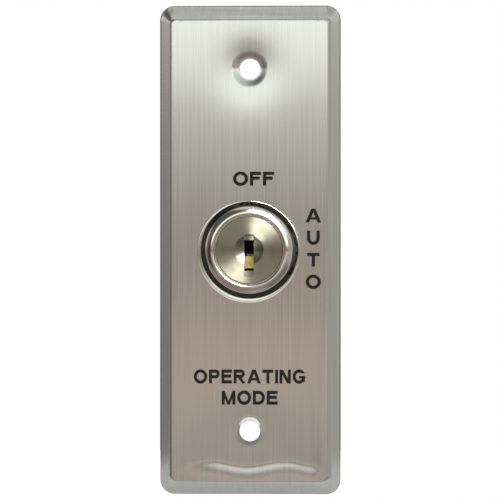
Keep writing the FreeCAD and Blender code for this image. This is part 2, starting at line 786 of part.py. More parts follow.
def make_plug():
    """Keyed plug: head, body with five wafer slots, and a flatted tail with a tapped hole."""
    body = new_body("plug")
    head_back = f"({SEAT} - plug_head_gap)"
    turn_profile(
        body, "turning", "Revolution", "Y",
        [
            (FACE, "0"),
            (FACE, "(plug_head_radius - plug_edge)"),
            (f"({FACE} + plug_edge)", "plug_head_radius"),
            (head_back, "plug_head_radius"),
            (head_back, "plug_radius"),
            ("plug_end", "plug_radius"),
            ("plug_end", "tail_radius"),
            ("tail_end", "tail_radius"),
            ("tail_end", "0"),
        ],
    )
    ball = "((dish_radius ^ 2 + dish_depth ^ 2) / (2 * dish_depth))"
    dish = body.newObject("PartDesign::SubtractiveSphere", "dish")
    plane = next(feature for feature in body.Origin.OriginFeatures if feature.Role == "XZ_Plane")
    dish.AttachmentSupport = [(plane, "")]
    dish.MapMode = "FlatFace"
    dish.setExpression("Radius", linked(ball))
    dish.setExpression("AttachmentOffset.Base.z", linked(f"-{FACE} + {ball} - dish_depth"))
    half_key = "(key_width / 2)"
    cut(body, "keyway", "Y", FACE, "key_end",
        lambda s: rectangle(s, f"-{half_key}", half_key, "-key_bottom", "key_top"))
    cut(body, "key_shoulder", "Y", FACE, f"({FACE} + shoulder_depth)",
        lambda s: rectangle(s, f"-{half_key}", half_key, "-shoulder_bottom", "shoulder_top"))
    slot_half = "(wafer_half_width + wafer_fit)"
    half_slot = "(wafer_thickness / 2 + wafer_fit)"
    slot_floor = "-(wafer_bottom + wafer_end_gap)"
    half_pocket = "(spring_radius + spring_room)"
    pocket_left = "(wafer_half_width - spring_pocket_gap)"
    pocket_right = "(tab_reach + spring_pocket_gap)"
    for index in range(len(WINDOW_EDGES)):
        place = wafer_place(index)
        cut(body, f"wafer_slot_{index + 1}", "Y", f"{place} - {half_slot}", f"{place} + {half_slot}",
            lambda s: rectangle(s, f"-{slot_half}", slot_half, slot_floor, "plug_radius"))
        cut(body, f"spring_pocket_{index + 1}", "Y", f"{place} - {half_pocket}", f"{place} + {half_pocket}",
            lambda s: rectangle(s, pocket_left, pocket_right, "-spring_floor", "plug_radius"))
    for name, side in (("left_tail_flat", -1), ("right_tail_flat", 1)):
        near = f"{side} * tail_flat"
        far = f"{side} * 2 * tail_flat"
        cut(body, name, "Y", "plug_end", "tail_end",
            lambda s: rectangle(s, near, far, "-tail_radius", "tail_radius"))
    thread_end = f"({CAM_WASHER_BACK} - cam_screw_length - merge)"
    cut(body, "tapped_hole", "Y", thread_end, "tail_end",
        lambda s: circle(s, "0", "0", "(cam_screw_shank + tail_fit)"))


def make_wafer(index, window_edge):
    """Brass wafer with a key window and a side tab that its spring pushes."""
    body = new_body(f"wafer_{index + 1}")
    place = wafer_place(index)
    front = f"({place} - wafer_thickness / 2)"
    back = f"({place} + wafer_thickness / 2)"
    add(body, "blank", "Y", front, back, lambda s: polygon(s, [
        ("-wafer_half_width", "-wafer_bottom"),
        ("wafer_half_width", "-wafer_bottom"),
        ("wafer_half_width", "tab_bottom"),
        ("tab_reach", "tab_bottom"),
        ("tab_reach", "tab_top"),
        ("wafer_half_width", "tab_top"),
        ("wafer_half_width", "wafer_top"),
        ("-wafer_half_width", "wafer_top"),
    ]))
    cut(body, "window", "Y", front, back,
        lambda s: rectangle(s, "-window_half_width", "window_half_width", str(window_edge), "window_top"))


def make_wafer_spring(index):
    """Coil spring that stands on the pocket's floor and pushes the wafer's tab up."""
    low = value("spring_wire + spring_end_gap - spring_floor")
    high = value("tab_bottom - spring_wire - spring_end_gap")
    radius = value("spring_radius")
    pitch = (high - low) / value("spring_turns")
    path = Part.makeHelix(pitch, high - low, radius)
    section = Part.makeCircle(value("spring_wire"), FreeCAD.Vector(radius, 0, 0), FreeCAD.Vector(0, 1, 0))
    label = f"wafer_spring_{index + 1}"
    spring = keep(doc.addObject("Part::Feature", label), label)
    spring.Shape = Part.Wire(path).makePipeShell([Part.Wire(section)], True, True)
    across = (value("wafer_half_width") + value("tab_reach")) / 2
    spring.Placement.Base = FreeCAD.Vector(across, value(wafer_place(index)), low)


# ---------------------------------------------------------------- what turns with the plug's tail
RISE_STEPS = 12


def tail_hole(sketch):
    double_d(sketch, "(tail_radius + tail_fit)", "(tail_flat + tail_fit)")


def make_stop_washer():
    """Washer keyed to the tail, with a tab bent forward into the barrel's notch."""
    body = new_body("stop_washer")
    add(body, "disc", "Y", "plug_end", STOP_BACK, lambda s: circle(s, "0", "0", "stop_radius"))
    add(body, "tab", "Y", "stop_tab_front", STOP_BACK,
        lambda s: rectangle(s, "-stop_tab_half", "stop_tab_half", "-(stop_radius - 0.1)", "-stop_tab_inner"))
    cut(body, "hole", "Y", "plug_end", STOP_BACK, tail_hole)


def make_switch_cam():
    """Cam whose edge rises evenly over the quarter turn that brings it under the lever."""
    low = value("cam_low")
    high = value("cam_high")
    turn = value("turn")

    def edge_point(bearing, radius):
        """The bearing is clockwise from the top, seen from the front."""
        angle = math.radians(bearing)
        return FreeCAD.Vector(radius * math.sin(angle), 0, radius * math.cos(angle))

    rise = Part.BSplineCurve()
    rise_points = []
    for step in range(RISE_STEPS + 1):
        share = step / RISE_STEPS
        rise_points.append(edge_point(-turn * share, low + (high - low) * share))
    rise.interpolate(rise_points)
    top = edge_point(-turn, high)
    top_end = edge_point(-turn - value("cam_dwell"), high)
    bottom_start = edge_point(-value("cam_fall_end"), low)
    dwell = Part.Arc(top, edge_point(-turn - value("cam_dwell / 2"), high), top_end)
    fall = Part.LineSegment(top_end, bottom_start)
    base = Part.Arc(bottom_start, edge_point(turn, low), edge_point(0, low))
    outline = Part.Wire([rise.toShape(), dwell.toShape(), fall.toShape(), base.toShape()])
    thickness = value("cam_thickness")
    front = FreeCAD.Vector(0, value(STOP_BACK), 0)
    backward = FreeCAD.Vector(0, 1, 0)
    cam = Part.Face(outline).extrude(backward * thickness)
    cam.translate(front)
    bore = Part.makeCylinder(value("tail_radius + tail_fit"), thickness, front, backward)
    flat = value("tail_flat + tail_fit")
    slab = Part.makeBox(2 * flat, thickness, 4 * flat, front - FreeCAD.Vector(flat, 0, 2 * flat))
    feature = keep(doc.addObject("Part::Feature", "switch_cam"), "switch_cam")
    feature.Shape = cam.cut(bore.common(slab))


def make_cam_lock_washer():
    """Split spring washer under the cam screw's head."""
    body = new_body("cam_lock_washer")

    def ring(sketch):
        circle(sketch, "0", "0", "cam_washer_outer")
        circle(sketch, "0", "0", "(cam_screw_shank + cam_washer_play)")

    add(body, "ring", "Y", CAM_BACK, CAM_WASHER_BACK, ring)
    cut(body, "split", "Y", CAM_BACK, CAM_WASHER_BACK,
        lambda s: rectangle(s, "-cam_washer_split", "cam_washer_split", "0", "(cam_washer_outer + 1)"))


def make_cam_screw():
    """Slotted cheese-head screw in the plug's tail."""
    body = new_body("cam_screw")
    head_back = f"({CAM_WASHER_BACK} + cam_screw_head_height)"
    shank_end = f"({CAM_WASHER_BACK} - cam_screw_length)"
    turn_profile(
        body, "turning", "Revolution", "Y",
        [
            (shank_end, "0"),
            (shank_end, "(cam_screw_shank - cam_screw_point)"),
            (f"({shank_end} + cam_screw_point)", "cam_screw_shank"),
            (CAM_WASHER_BACK, "cam_screw_shank"),
            (CAM_WASHER_BACK, "cam_screw_head"),
            (f"({head_back} - cam_screw_bevel)", "cam_screw_head"),
            (head_back, "(cam_screw_head - cam_screw_bevel)"),
            (head_back, "0"),
        ],
    )
    reach = "(cam_screw_head + 1)"
    cut(body, "slot", "Y", f"({head_back} - cam_screw_slot_depth)", head_back,
        lambda s: rectangle(s, f"-{reach}", reach, "-cam_screw_slot", "cam_screw_slot"))


# ---------------------------------------------------------------- bracket
def make_switch_bracket():
    """Bent strip: the barrel clamps its base, and the snap switch hangs on the lip at its far end."""
    body = new_body("switch_bracket")
    profile = [
        (SHEET_BACK, "bracket_bottom"),
        (BRACKET_BACK, "bracket_bottom"),
        (BRACKET_BACK, "(bracket_top - bracket_sheet)"),
        ("(bracket_depth - bracket_sheet)", "(bracket_top - bracket_sheet)"),
        ("(bracket_depth - bracket_sheet)", "bracket_lip"),
        ("bracket_depth", "bracket_lip"),
        ("bracket_depth", "bracket_top"),
        (SHEET_BACK, "bracket_top"),
    ]
    add(body, "strip", "X", "-bracket_half_width", "bracket_half_width", lambda s: polygon(s, profile))
    inner_top = value("bracket_top - bracket_sheet")
    outer_top = value("bracket_top")

    def is_bend(edge, middle, height):
        level = abs(edge.tangentAt(edge.FirstParameter).x) > ALIGNED
        return level and abs(middle.z - height) < CLOSE and abs(middle.x) < CLOSE

    def is_corner(edge, middle, height):
        return along_y(edge) and abs(middle.z - value(height)) < CLOSE

    round_edges(body, "inner_bends", "bend_inside", lambda e, m: is_bend(e, m, inner_top))
    round_edges(body, "outer_bends", "bend_inside + bracket_sheet", lambda e, m: is_bend(e, m, outer_top))
    round_edges(body, "foot_corners", "foot_corner", lambda e, m: is_corner(e, m, "bracket_bottom"))
    round_edges(body, "lip_corners", "lip_corner", lambda e, m: is_corner(e, m, "bracket_lip"))
    cut(body, "lock_hole", "Y", SHEET_BACK, BRACKET_BACK, panel_hole)
    cut(body, "switch_holes", "Y", "(bracket_depth - bracket_sheet)", "bracket_depth", mount_holes)


# ---------------------------------------------------------------- snap switch
MOUNT_PLACES = (("-mount_across", "mount_low"), ("mount_across", "mount_high"))


def mount_holes(sketch):
    for across, up in MOUNT_PLACES:
        circle(sketch, across, up, "mount_hole")


def case_outline(sketch):
    rectangle(sketch, "-case_half_length", "case_half_length", "case_bottom", CASE_TOP)


def make_switch_insulator():
    body = new_body("switch_insulator")
    add(body, "leaf", "Y", "bracket_depth", CASE_FRONT, case_outline)
    cut(body, "holes", "Y", "bracket_depth", CASE_FRONT, mount_holes)


def is_case_corner(edge, middle):
    """An edge along Y at one of the four outer corners of the case or its cover."""
    at_side = abs(abs(middle.x) - value("case_half_length")) < CLOSE
    at_end = min(abs(middle.z - value("case_bottom")), abs(middle.z - value(CASE_TOP))) < CLOSE
    return along_y(edge) and at_side and at_end


def make_switch_case():
    """Moulded tray: three terminal slots, two screw bosses, a plunger guide and two lever ears."""
    body = new_body("switch_case")
    add(body, "block", "Y", CASE_FRONT, CASE_BACK, case_outline)
    round_edges(body, "corners", "case_corner", is_case_corner)
    inside = "(case_half_length - case_wall)"
    floor = f"({CASE_FRONT} + case_wall)"
    low = "(case_bottom + case_wall)"
    high = f"({CASE_TOP} - case_wall)"
    cut(body, "chamber", "Y", floor, CASE_BACK, lambda s: rectangle(s, f"-{inside}", inside, low, high))
    for name, (across, up) in zip(("low_boss", "high_boss"), MOUNT_PLACES):
        add(body, name, "Y", f"({floor} - merge)", CASE_BACK, lambda s: circle(s, across, up, "mount_boss"))

    def ear_outline(sketch):
        left = "(pivot_across - ear_half_width)"
        right = "(pivot_across + ear_half_width)"
        rectangle(sketch, left, right, "(pivot_height - ear_drop)", "(case_bottom + merge)")

    add(body, "front_ear", "Y", FRONT_EAR, f"({FRONT_EAR} + ear_thickness)", ear_outline)
    add(body, "rear_ear", "Y", REAR_EAR, EARS_BACK, ear_outline)
    cut(body, "screw_holes", "Y", CASE_FRONT, CASE_BACK, mount_holes)
    cut(body, "pivot_hole", "Y", FRONT_EAR, EARS_BACK,
        lambda s: circle(s, "pivot_across", "pivot_height", "(pivot_radius + tab_fit)"))
    cut(body, "plunger_guide", "Z", "case_bottom", low,
        lambda s: circle(s, "plunger_across", "mid_depth", "(plunger_radius + wafer_fit)"))
    half_tab = "(tab_width / 2 + tab_fit)"
    half_sheet = "(tab_thickness / 2 + tab_fit)"

    def common_slot(sketch):
        left = f"common_across - {half_tab}"
        right = f"common_across + {half_tab}"
        rectangle(sketch, left, right, f"mid_depth - {half_sheet}", f"mid_depth + {half_sheet}")

    cut(body, "common_slot", "Z", high, CASE_TOP, common_slot)
    for name, bottom in (("closed_slot", CLOSED_TAB), ("open_slot", OPEN_TAB)):

        def side_slot(sketch):
            front = f"mid_depth - {half_tab}"
            back = f"mid_depth + {half_tab}"
            rectangle(sketch, front, back, f"{bottom} - tab_fit", f"{bottom} + tab_thickness + tab_fit")

        cut(body, name, "X", inside, "case_half_length", side_slot)


def make_switch_cover():
    body = new_body("switch_cover")
    add(body, "leaf", "Y", CASE_BACK, COVER_BACK, case_outline)
    round_edges(body, "corners", "case_corner", is_case_corner)
    cut(body, "holes", "Y", CASE_BACK, COVER_BACK, mount_holes)


def make_switch_plunger():
    """Plunger with a rounded tip below the case and a collar that keeps it in."""
    body = new_body("switch_plunger")
    collar = "(case_bottom + case_wall + contact_gap)"
    collar_top = f"({collar} + plunger_collar_height)"
    turn_profile(
        body, "turning", "Revolution", "Z",
        [
            ("plunger_tip", "0"),
            ("plunger_tip", "plunger_tip_radius"),
            ("(plunger_tip + plunger_cone)", "plunger_radius"),
            (collar, "plunger_radius"),
            (collar, "plunger_collar"),
            (collar_top, "plunger_collar"),
            (collar_top, "plunger_post"),
            ("plunger_top", "plunger_post"),
            ("plunger_top", "0"),
        ],
        across="plunger_across",
        depth="mid_depth",
    )


def make_switch_lever():
    """Leaf lever: a loop round the pivot pin, a straight arm, and a formed nose that rides the cam."""
    pivot = FreeCAD.Vector(value("pivot_across"), 0, value("pivot_height"))
    half = value("lever_sheet") / 2
    nose_centre = FreeCAD.Vector(0, 0, value("roller_height"))
    outer = value("roller_radius")
    inner = outer - value("lever_sheet")
    elbow = nose_centre + FreeCAD.Vector(-outer + half, 0, 0)
    arm_direction = (elbow - pivot).normalize()
    upward = FreeCAD.Vector(-arm_direction.z, 0, arm_direction.x) * half
    arm_corners = [pivot - upward, elbow - upward, elbow + upward, pivot + upward]
    arm = Part.Face(Part.makePolygon(arm_corners + arm_corners[:1]))

    def disc(centre, radius):
        return Part.Face(Part.Wire(Part.makeCircle(radius, centre, FreeCAD.Vector(0, -1, 0))))

    half_plane = block(-outer, nose_centre.z - outer, outer, nose_centre.z)
    nose = disc(nose_centre, outer).cut(disc(nose_centre, inner)).common(half_plane)
    width = FreeCAD.Vector(0, value("lever_width"), 0)
    solid = fused_slab([disc(pivot, value("lever_loop")), arm, nose, disc(elbow, half)], width)
    solid = solid.cut(disc(pivot, value("lever_bore")).extrude(width)).Solids[0]
    solid.translate(FreeCAD.Vector(0, value(LEVER_FRONT), 0))
    lever = keep(doc.addObject("Part::Feature", "switch_lever"), "switch_lever")
    lever.Shape = solid


def make_lever_pivot_pin():
    body = new_body("lever_pivot_pin")
    add(body, "pin", "Y", FRONT_EAR, EARS_BACK,
        lambda s: circle(s, "pivot_across", "pivot_height", "pivot_radius"))


def make_moving_blade():
    """Contact blade with a rolled end that pivots under the common terminal."""
    body = new_body("moving_blade")
    front = "(mid_depth - blade_width / 2)"
    back = "(mid_depth + blade_width / 2)"
    add(body, "strip", "Z", "blade_height", BLADE_TOP,
        lambda s: rectangle(s, "blade_pivot", "blade_right", front, back))
    add(body, "rolled_end", "Y", front, back,
        lambda s: circle(s, "blade_pivot", "(blade_height + blade_sheet / 2)", "blade_roll"))
    cut(body, "rivet_hole", "Z", "blade_height", BLADE_TOP,
        lambda s: circle(s, "contact_across", "mid_depth", "(contact_radius / 2)"))


def make_moving_contact():
    """Double-faced contact riveted through the blade."""
    body = new_body("moving_contact")
    low = "(blade_height - contact_height)"
    high = f"({BLADE_TOP} + contact_height)"
    turn_profile(
        body, "turning", "Revolution", "Z",
        [
            (low, "0"),
            (low, "contact_radius"),
            ("blade_height", "contact_radius"),
            ("blade_height", "(contact_radius / 2)"),
            (BLADE_TOP, "(contact_radius / 2)"),
            (BLADE_TOP, "contact_radius"),
            (high, "contact_radius"),
            (high, "0"),
        ],
        across="contact_across",
        depth="mid_depth",
    )


def make_blade_spring():
    """Bowed leaf on top of the blade that makes it snap over."""
    left = value("bow_left")
    right = value("bow_right")
    foot = value("bow_foot")
    base = value(BLADE_TOP)
    middle = (left + right) / 2

    def point(across, rise=0.0):
        return FreeCAD.Vector(across, 0, base + rise)

    outer = Part.Arc(point(left), point(middle, value("bow_rise")), point(right))
    inner = Part.Arc(point(left + foot), point(middle, value("bow_rise - bow_sheet")), point(right - foot))
    left_foot = Part.LineSegment(point(left), point(left + foot))
    right_foot = Part.LineSegment(point(right - foot), point(right))
    edges = [curve.toShape() for curve in (outer, inner, left_foot, right_foot)]
    outline = Part.Wire(Part.__sortEdges__(edges))
    leaf = Part.Face(outline).extrude(FreeCAD.Vector(0, value("bow_width"), 0))
    leaf.translate(FreeCAD.Vector(0, value("mid_depth - bow_width / 2"), 0))
    spring = keep(doc.addObject("Part::Feature", "blade_spring"), "blade_spring")
    spring.Shape = leaf


def make_terminals():
    """Three push-on tabs: one above the blade's pivot, two out of the end beyond the contacts."""
    common = new_body("terminal_common")
    half_tab = "(tab_width / 2)"
    tip = f"({CASE_TOP} + tab_length)"
    tab_front = "(mid_depth - tab_thickness / 2)"
    tab_back = "(mid_depth + tab_thickness / 2)"
    add(common, "tab", "Y", tab_front, tab_back, lambda s: polygon(s, [
        (f"common_across - {half_tab}", f"{BLADE_TOP} + common_gap"),
        (f"common_across + {half_tab}", f"{BLADE_TOP} + common_gap"),
        (f"common_across + {half_tab}", f"{tip} - tab_bevel"),
        (f"common_across + {half_tab} - tab_bevel", tip),
        (f"common_across - {half_tab} + tab_bevel", tip),
        (f"common_across - {half_tab}", f"{tip} - tab_bevel"),
    ]))
    cut(common, "eye", "Y", tab_front, tab_back,
        lambda s: circle(s, "common_across", f"{tip} - tab_eye", "tab_hole"))
    end = "(case_half_length + tab_length)"
    for label, bottom in (("terminal_normally_closed", CLOSED_TAB), ("terminal_normally_open", OPEN_TAB)):
        body = new_body(label)
        top = f"({bottom} + tab_thickness)"
        add(body, "tab", "Z", bottom, top, lambda s: polygon(s, [
            ("tab_inner_end", f"mid_depth - {half_tab}"),
            (f"{end} - tab_bevel", f"mid_depth - {half_tab}"),
            (end, f"mid_depth - {half_tab} + tab_bevel"),
            (end, f"mid_depth + {half_tab} - tab_bevel"),
            (f"{end} - tab_bevel", f"mid_depth + {half_tab}"),
            ("tab_inner_end", f"mid_depth + {half_tab}"),
        ]))
        cut(body, "eye", "Z", bottom, top, lambda s: circle(s, f"{end} - tab_eye", "mid_depth", "tab_hole"))


def make_fixed_contacts():
    for label, low, high in (
        ("fixed_contact_closed", f"({CLOSED_TOP} - contact_height)", CLOSED_TOP),
        ("fixed_contact_open", OPEN_BOTTOM, f"({OPEN_BOTTOM} + contact_height)"),
    ):
        body = new_body(label)
        radius = "(contact_radius + contact_gap)"
        add(body, "button", "Z", low, high, lambda s: circle(s, "contact_across", "mid_depth", radius))


def make_switch_fixings():
    """Two pan-head screws through lip, insulator, case and cover, each with a nut behind."""
    screws = []
    nuts = []
    lip_front = "(bracket_depth - bracket_sheet)"
    head_front = f"({lip_front} - machine_head_height)"
    reach = "(machine_head + 1)"
    for name, (across, up) in zip(("low", "high"), MOUNT_PLACES):
        screw = doc.addObject("PartDesign::Body", f"screw_{name}")
        add(screw, f"shank_{name}", "Y", f"({lip_front} - merge)", "machine_screw_end",
            lambda s: circle(s, across, up, "machine_screw"))
        add(screw, f"head_{name}", "Y", head_front, lip_front,
            lambda s: circle(s, across, up, "machine_head"))
        round_edges(screw, f"crown_{name}", "machine_crown",
                    lambda e, m: abs(m.y - value(head_front)) < CLOSE)

        def slot_outline(sketch):
            left = f"{across} - {reach}"
            right = f"{across} + {reach}"
            rectangle(sketch, left, right, f"{up} - machine_slot", f"{up} + machine_slot")

        cut(screw, f"slot_{name}", "Y", head_front, f"({head_front} + machine_slot_depth)", slot_outline)
        screws.append(screw)
        nut = doc.addObject("PartDesign::Body", f"nut_{name}")

        def nut_outline(sketch):
            hexagon(sketch, across, up, "machine_nut_flats")
            circle(sketch, across, up, "(machine_screw + tab_fit)")

        add(nut, f"hexagon_{name}", "Y", COVER_BACK, f"({COVER_BACK} + machine_nut_height)", nut_outline)
        nuts.append(nut)
    for label, pieces in (("switch_screws", screws), ("switch_nuts", nuts)):
        group = keep(doc.addObject("Part::Compound", label), label)
        group.Links = pieces


# ---------------------------------------------------------------- build, check and write
make_face_plate()
make_legends()
make_lock_barrel()
make_dress_washer()
make_barrel_lock_washer()
make_barrel_nut()
make_plug()
for number, window_edge in enumerate(WINDOW_EDGES):
    make_wafer(number, window_edge)
    make_wafer_spring(number)
make_stop_washer()
make_switch_cam()
make_cam_lock_washer()
make_cam_screw()
make_switch_bracket()
make_switch_insulator()
make_switch_case()
make_switch_cover()
make_switch_plunger()
make_switch_lever()
make_lever_pivot_pin()
make_moving_blade()
make_moving_contact()
make_blade_spring()
make_terminals()
make_fixed_contacts()
make_switch_fixings()
doc.recompute()

for item in doc.Objects:
    if {"Invalid", "Error"} & set(item.State):
        raise RuntimeError(f"{item.Label} failed: {item.State}")
for part in subparts:
    if part.Shape.isNull() or not part.Shape.isValid():
        raise RuntimeError(f"{part.Label} has no valid shape")

os.makedirs("parts", exist_ok=True)
for part in subparts:
    part.Shape.exportStep(os.path.join("parts", f"{part.Label}.step"))
    box = part.Shape.BoundBox
    lows = f"{box.XMin:.2f} {box.YMin:.2f} {box.ZMin:.2f}"
    highs = f"{box.XMax:.2f} {box.YMax:.2f} {box.ZMax:.2f}"
    count = len(part.Shape.Solids)
    print(f"{part.Label}: {count} solid(s), {part.Shape.Volume:.1f} mm3, from {lows} to {highs}")
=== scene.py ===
"""Selector key switch: a bevelled stainless wall plate, its key lock, and the snap switch behind it."""

import json
import math

import bpy
import numpy as np
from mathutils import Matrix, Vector
from mathutils.geometry import delaunay_2d_cdt


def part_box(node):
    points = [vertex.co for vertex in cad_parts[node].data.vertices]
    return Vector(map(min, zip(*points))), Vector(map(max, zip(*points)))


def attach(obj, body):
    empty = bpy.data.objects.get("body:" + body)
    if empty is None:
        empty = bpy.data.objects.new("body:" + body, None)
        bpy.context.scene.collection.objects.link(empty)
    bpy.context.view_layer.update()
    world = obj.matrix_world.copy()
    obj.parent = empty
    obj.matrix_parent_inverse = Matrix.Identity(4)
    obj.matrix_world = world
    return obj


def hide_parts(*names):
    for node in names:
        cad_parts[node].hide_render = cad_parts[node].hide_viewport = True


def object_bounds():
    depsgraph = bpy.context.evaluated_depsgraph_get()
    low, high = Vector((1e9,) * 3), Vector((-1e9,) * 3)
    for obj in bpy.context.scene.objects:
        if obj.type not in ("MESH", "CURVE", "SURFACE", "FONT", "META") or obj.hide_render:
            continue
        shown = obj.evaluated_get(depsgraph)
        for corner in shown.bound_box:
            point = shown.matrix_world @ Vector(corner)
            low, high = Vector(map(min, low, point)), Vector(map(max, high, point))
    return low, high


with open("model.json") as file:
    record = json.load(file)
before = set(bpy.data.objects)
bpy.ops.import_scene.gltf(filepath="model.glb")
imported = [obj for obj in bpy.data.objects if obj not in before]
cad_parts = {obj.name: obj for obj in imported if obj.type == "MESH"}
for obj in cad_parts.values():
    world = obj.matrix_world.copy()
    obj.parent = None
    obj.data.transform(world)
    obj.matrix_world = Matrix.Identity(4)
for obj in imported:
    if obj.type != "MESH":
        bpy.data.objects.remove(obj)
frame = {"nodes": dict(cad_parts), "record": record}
cad_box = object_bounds()
nodes = frame["nodes"]

MM = 0.001
TURN = 2 * math.pi


# ---------------------------------------------------------------- sizes, in millimetres, from the frame
def span(node):
    """Lowest and highest corner of a CAD node, in millimetres."""
    low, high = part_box(node)
    return low / MM, high / MM


plate_low, plate_high = span("face_plate")
barrel_low, barrel_high = span("lock_barrel")
dress_low, dress_high = span("dress_washer")
HALF_WIDTH = plate_high.x
HALF_HEIGHT = plate_high.z
FRONT = plate_low.y
PLATE_DEPTH = -plate_low.y
CREST = barrel_low.y
BARREL_END = barrel_high.y
HEAD_RADIUS = barrel_high.x
HEAD_BACK = dress_low.y

SHEET = 1.0
EDGE_WALL = 0.3
HOLE_HEIGHT = 41.67
SCREW_HOLE = 2.4
LOCK_HOLE = 9.625
LOCK_FLAT = 8.05

pieces = []


# ---------------------------------------------------------------- mesh helpers
def make_object(name, vertices, faces, node, body, slot_name, sharp=None, normals=None):
    """A mesh object, given in millimetres, that stands for a CAD node and rides on its body."""
    mesh = bpy.data.meshes.new(name)
    mesh.from_pydata([tuple(c * MM for c in v) for v in vertices], [], faces)
    mesh.update()
    mesh.shade_smooth()
    if sharp is not None:
        mesh.set_sharp_from_angle(angle=math.radians(sharp))
    if normals is not None:
        mesh.normals_split_custom_set(normals)
    obj = bpy.data.objects.new(name, mesh)
    bpy.context.scene.collection.objects.link(obj)
    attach(obj, body)
    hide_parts(node)
    pieces.append((obj, slot_name))


def ring_sweep(rows, steps, centre=(0.0, 0.0)):
    """Vertices and quads of a closed form of rotation about Y.

    Each row is a function of the bearing that gives (radius, y). The last row joins back to the first.
    """
    vertices = []
    for row in rows:
        for step in range(steps):
            bearing = TURN * step / steps
            radius, y = row(bearing)
            across = centre[0] + radius * math.sin(bearing)
            vertices.append((across, y, centre[1] + radius * math.cos(bearing)))
    faces = []
    count = len(rows)
    for index in range(count):
        here = index * steps
        there = (index + 1) % count * steps
        for step in range(steps):
            after = (step + 1) % steps
            faces.append((here + step, here + after, there + after, there + step))
    return vertices, faces


def plain_row(radius, y):
    return lambda bearing: (radius, y)


def smooth(value):
    """An S-shaped step from 0 to 1 as the value goes from 0 to 1."""
    value = np.clip(value, 0.0, 1.0)
    return value * value * (3 - 2 * value)


# ---------------------------------------------------------------- face plate
# (bevel width, fillet radius) along each edge of the plate; CORE is past all of them
BEVELS = {
    "left": (2.55, 1.0),
    "right": (2.5, 2.0),
    "top": (3.3, 0.6),
    "bottom": (2.7, 0.9),
}
CORE = 4.05
PLATE_CORNER = 3.35
FACE_CORNER = 0.7
HALVINGS = 22
STEEPEST = 0.35
# the rolled outer edge, the dimple of the top hole and the raised collar of the bottom hole
ROLLED_EDGE = 0.3
ROLLED_DROP = 0.25
DIMPLE_EDGE = 4.3
DIMPLE_DEPTH = 0.26
COLLAR_EDGE = 3.9
COLLAR_HEIGHT = 0.13
# the face bows back toward both ends
BOW_START = 33.0
BOW_REACH = 23.0
BOW_DEPTH = 0.24
# (height of the hole, depth, squared reach) of the broad dishes round the two screw holes
DISHES = ((HOLE_HEIGHT, 0.22, 40.0), (-HOLE_HEIGHT, 0.15, 30.0))
# the wavy fold near the bottom edge: the face falls fast below its line and climbs back slowly above it
FOLD_HEIGHT = -49.3
FOLD_WAVE = 0.6
FOLD_WAVELENGTH = 17.31
FOLD_CREST = -9.2
FOLD_DEPTH = 0.248
FOLD_BELOW = 0.55
FOLD_ABOVE = 2.25
FOLD_BLEND = 0.25
FOLD_LEFT, FOLD_LEFT_FADE = -19.0, 12.0
FOLD_RIGHT, FOLD_RIGHT_FADE = 17.5, 3.0
# the triangulation: points along the long sides, the short sides and each corner, and round each hole
EDGE_POINTS = (90, 30, 14)
SCREW_POINTS = 64
LOCK_POINTS = 96
EDGE_SHARES = [0.012, 0.025, 0.04, 0.055, 0.074, 0.12, 0.25, 0.36]
EDGE_SHARES += [0.42 + 0.58 * step / 15 for step in range(16)]
SCREW_RINGS = [0.06] + [0.19 * step for step in range(1, 15)] + [3.2, 3.9, 4.7, 5.6]
LOCK_RING = 0.8
GRID_PITCH = 0.8
GRID_MARGIN = 0.4
LOCK_CLEARING = 10.825
SCREW_CLEARING = 8.5
FOLD_ROWS = 26
FOLD_ROW_START = -52.1
FOLD_ROW_PITCH = 0.23
FOLD_ROW_OFFSET = 0.13


def bevel_height(inset, run, fillet):
    """Height above the wall at this distance from the edge: a flat bevel that meets the face in a fillet."""
    slope = (PLATE_DEPTH - EDGE_WALL) / run
    tangent = fillet * np.tan(np.arctan(slope) / 2)
    core = run + tangent
    start = run - tangent * np.cos(np.arctan(slope))
    arc = PLATE_DEPTH - fillet + np.sqrt(np.maximum(fillet * fillet - (core - inset) ** 2, 0.0))
    height = np.where(inset <= start, EDGE_WALL + slope * inset, arc)
    return np.where(inset >= core, PLATE_DEPTH, height)


def outline_gap(x, z, share):
    """Signed distance from the rounded outline at this share of the way in, and how far the edge faces Z."""
    radius = PLATE_CORNER + (FACE_CORNER - PLATE_CORNER) * share
    across = np.abs(x) - (HALF_WIDTH - CORE * share - radius)
    along = np.abs(z) - (HALF_HEIGHT - CORE * share - radius)
    outside_x, outside_z = np.maximum(across, 0.0), np.maximum(along, 0.0)
    reach = np.hypot(outside_x, outside_z)
    gap = reach + np.minimum(np.maximum(across, along), 0.0) - radius
    facing = np.where(reach > 1e-9, outside_z / np.maximum(reach, 1e-9), (along > across) * 1.0)
    return gap, facing**2


def inset_share(x, z):
    """How far in from the edge a point is, as a share of the core inset, found by halving."""
    low, high = np.zeros_like(x), np.ones_like(x)
    for _ in range(HALVINGS):
        middle = (low + high) / 2
        outside = outline_gap(x, z, middle)[0] > 0
        high = np.where(outside, middle, high)
        low = np.where(outside, low, middle)
    share = (low + high) / 2
    return share, outline_gap(x, z, share)[1]


def face_drop(x, z):
    """How far the pressed face falls back from its highest plane."""
    bow = BOW_DEPTH * (np.maximum(np.abs(z) - BOW_START, 0.0) / BOW_REACH) ** 2
    dish = sum(depth * np.exp(-(x * x + (z - centre) ** 2) / reach) for centre, depth, reach in DISHES)
    line = z - FOLD_HEIGHT - FOLD_WAVE * np.cos(TURN / FOLD_WAVELENGTH * (x - FOLD_CREST))
    fold = FOLD_DEPTH / (np.exp(-line / FOLD_BELOW) + np.exp(line / FOLD_ABOVE)) ** FOLD_BLEND
    fold *= smooth((x - FOLD_LEFT) / FOLD_LEFT_FADE) * smooth((FOLD_RIGHT - x) / FOLD_RIGHT_FADE)
    return bow + dish + fold


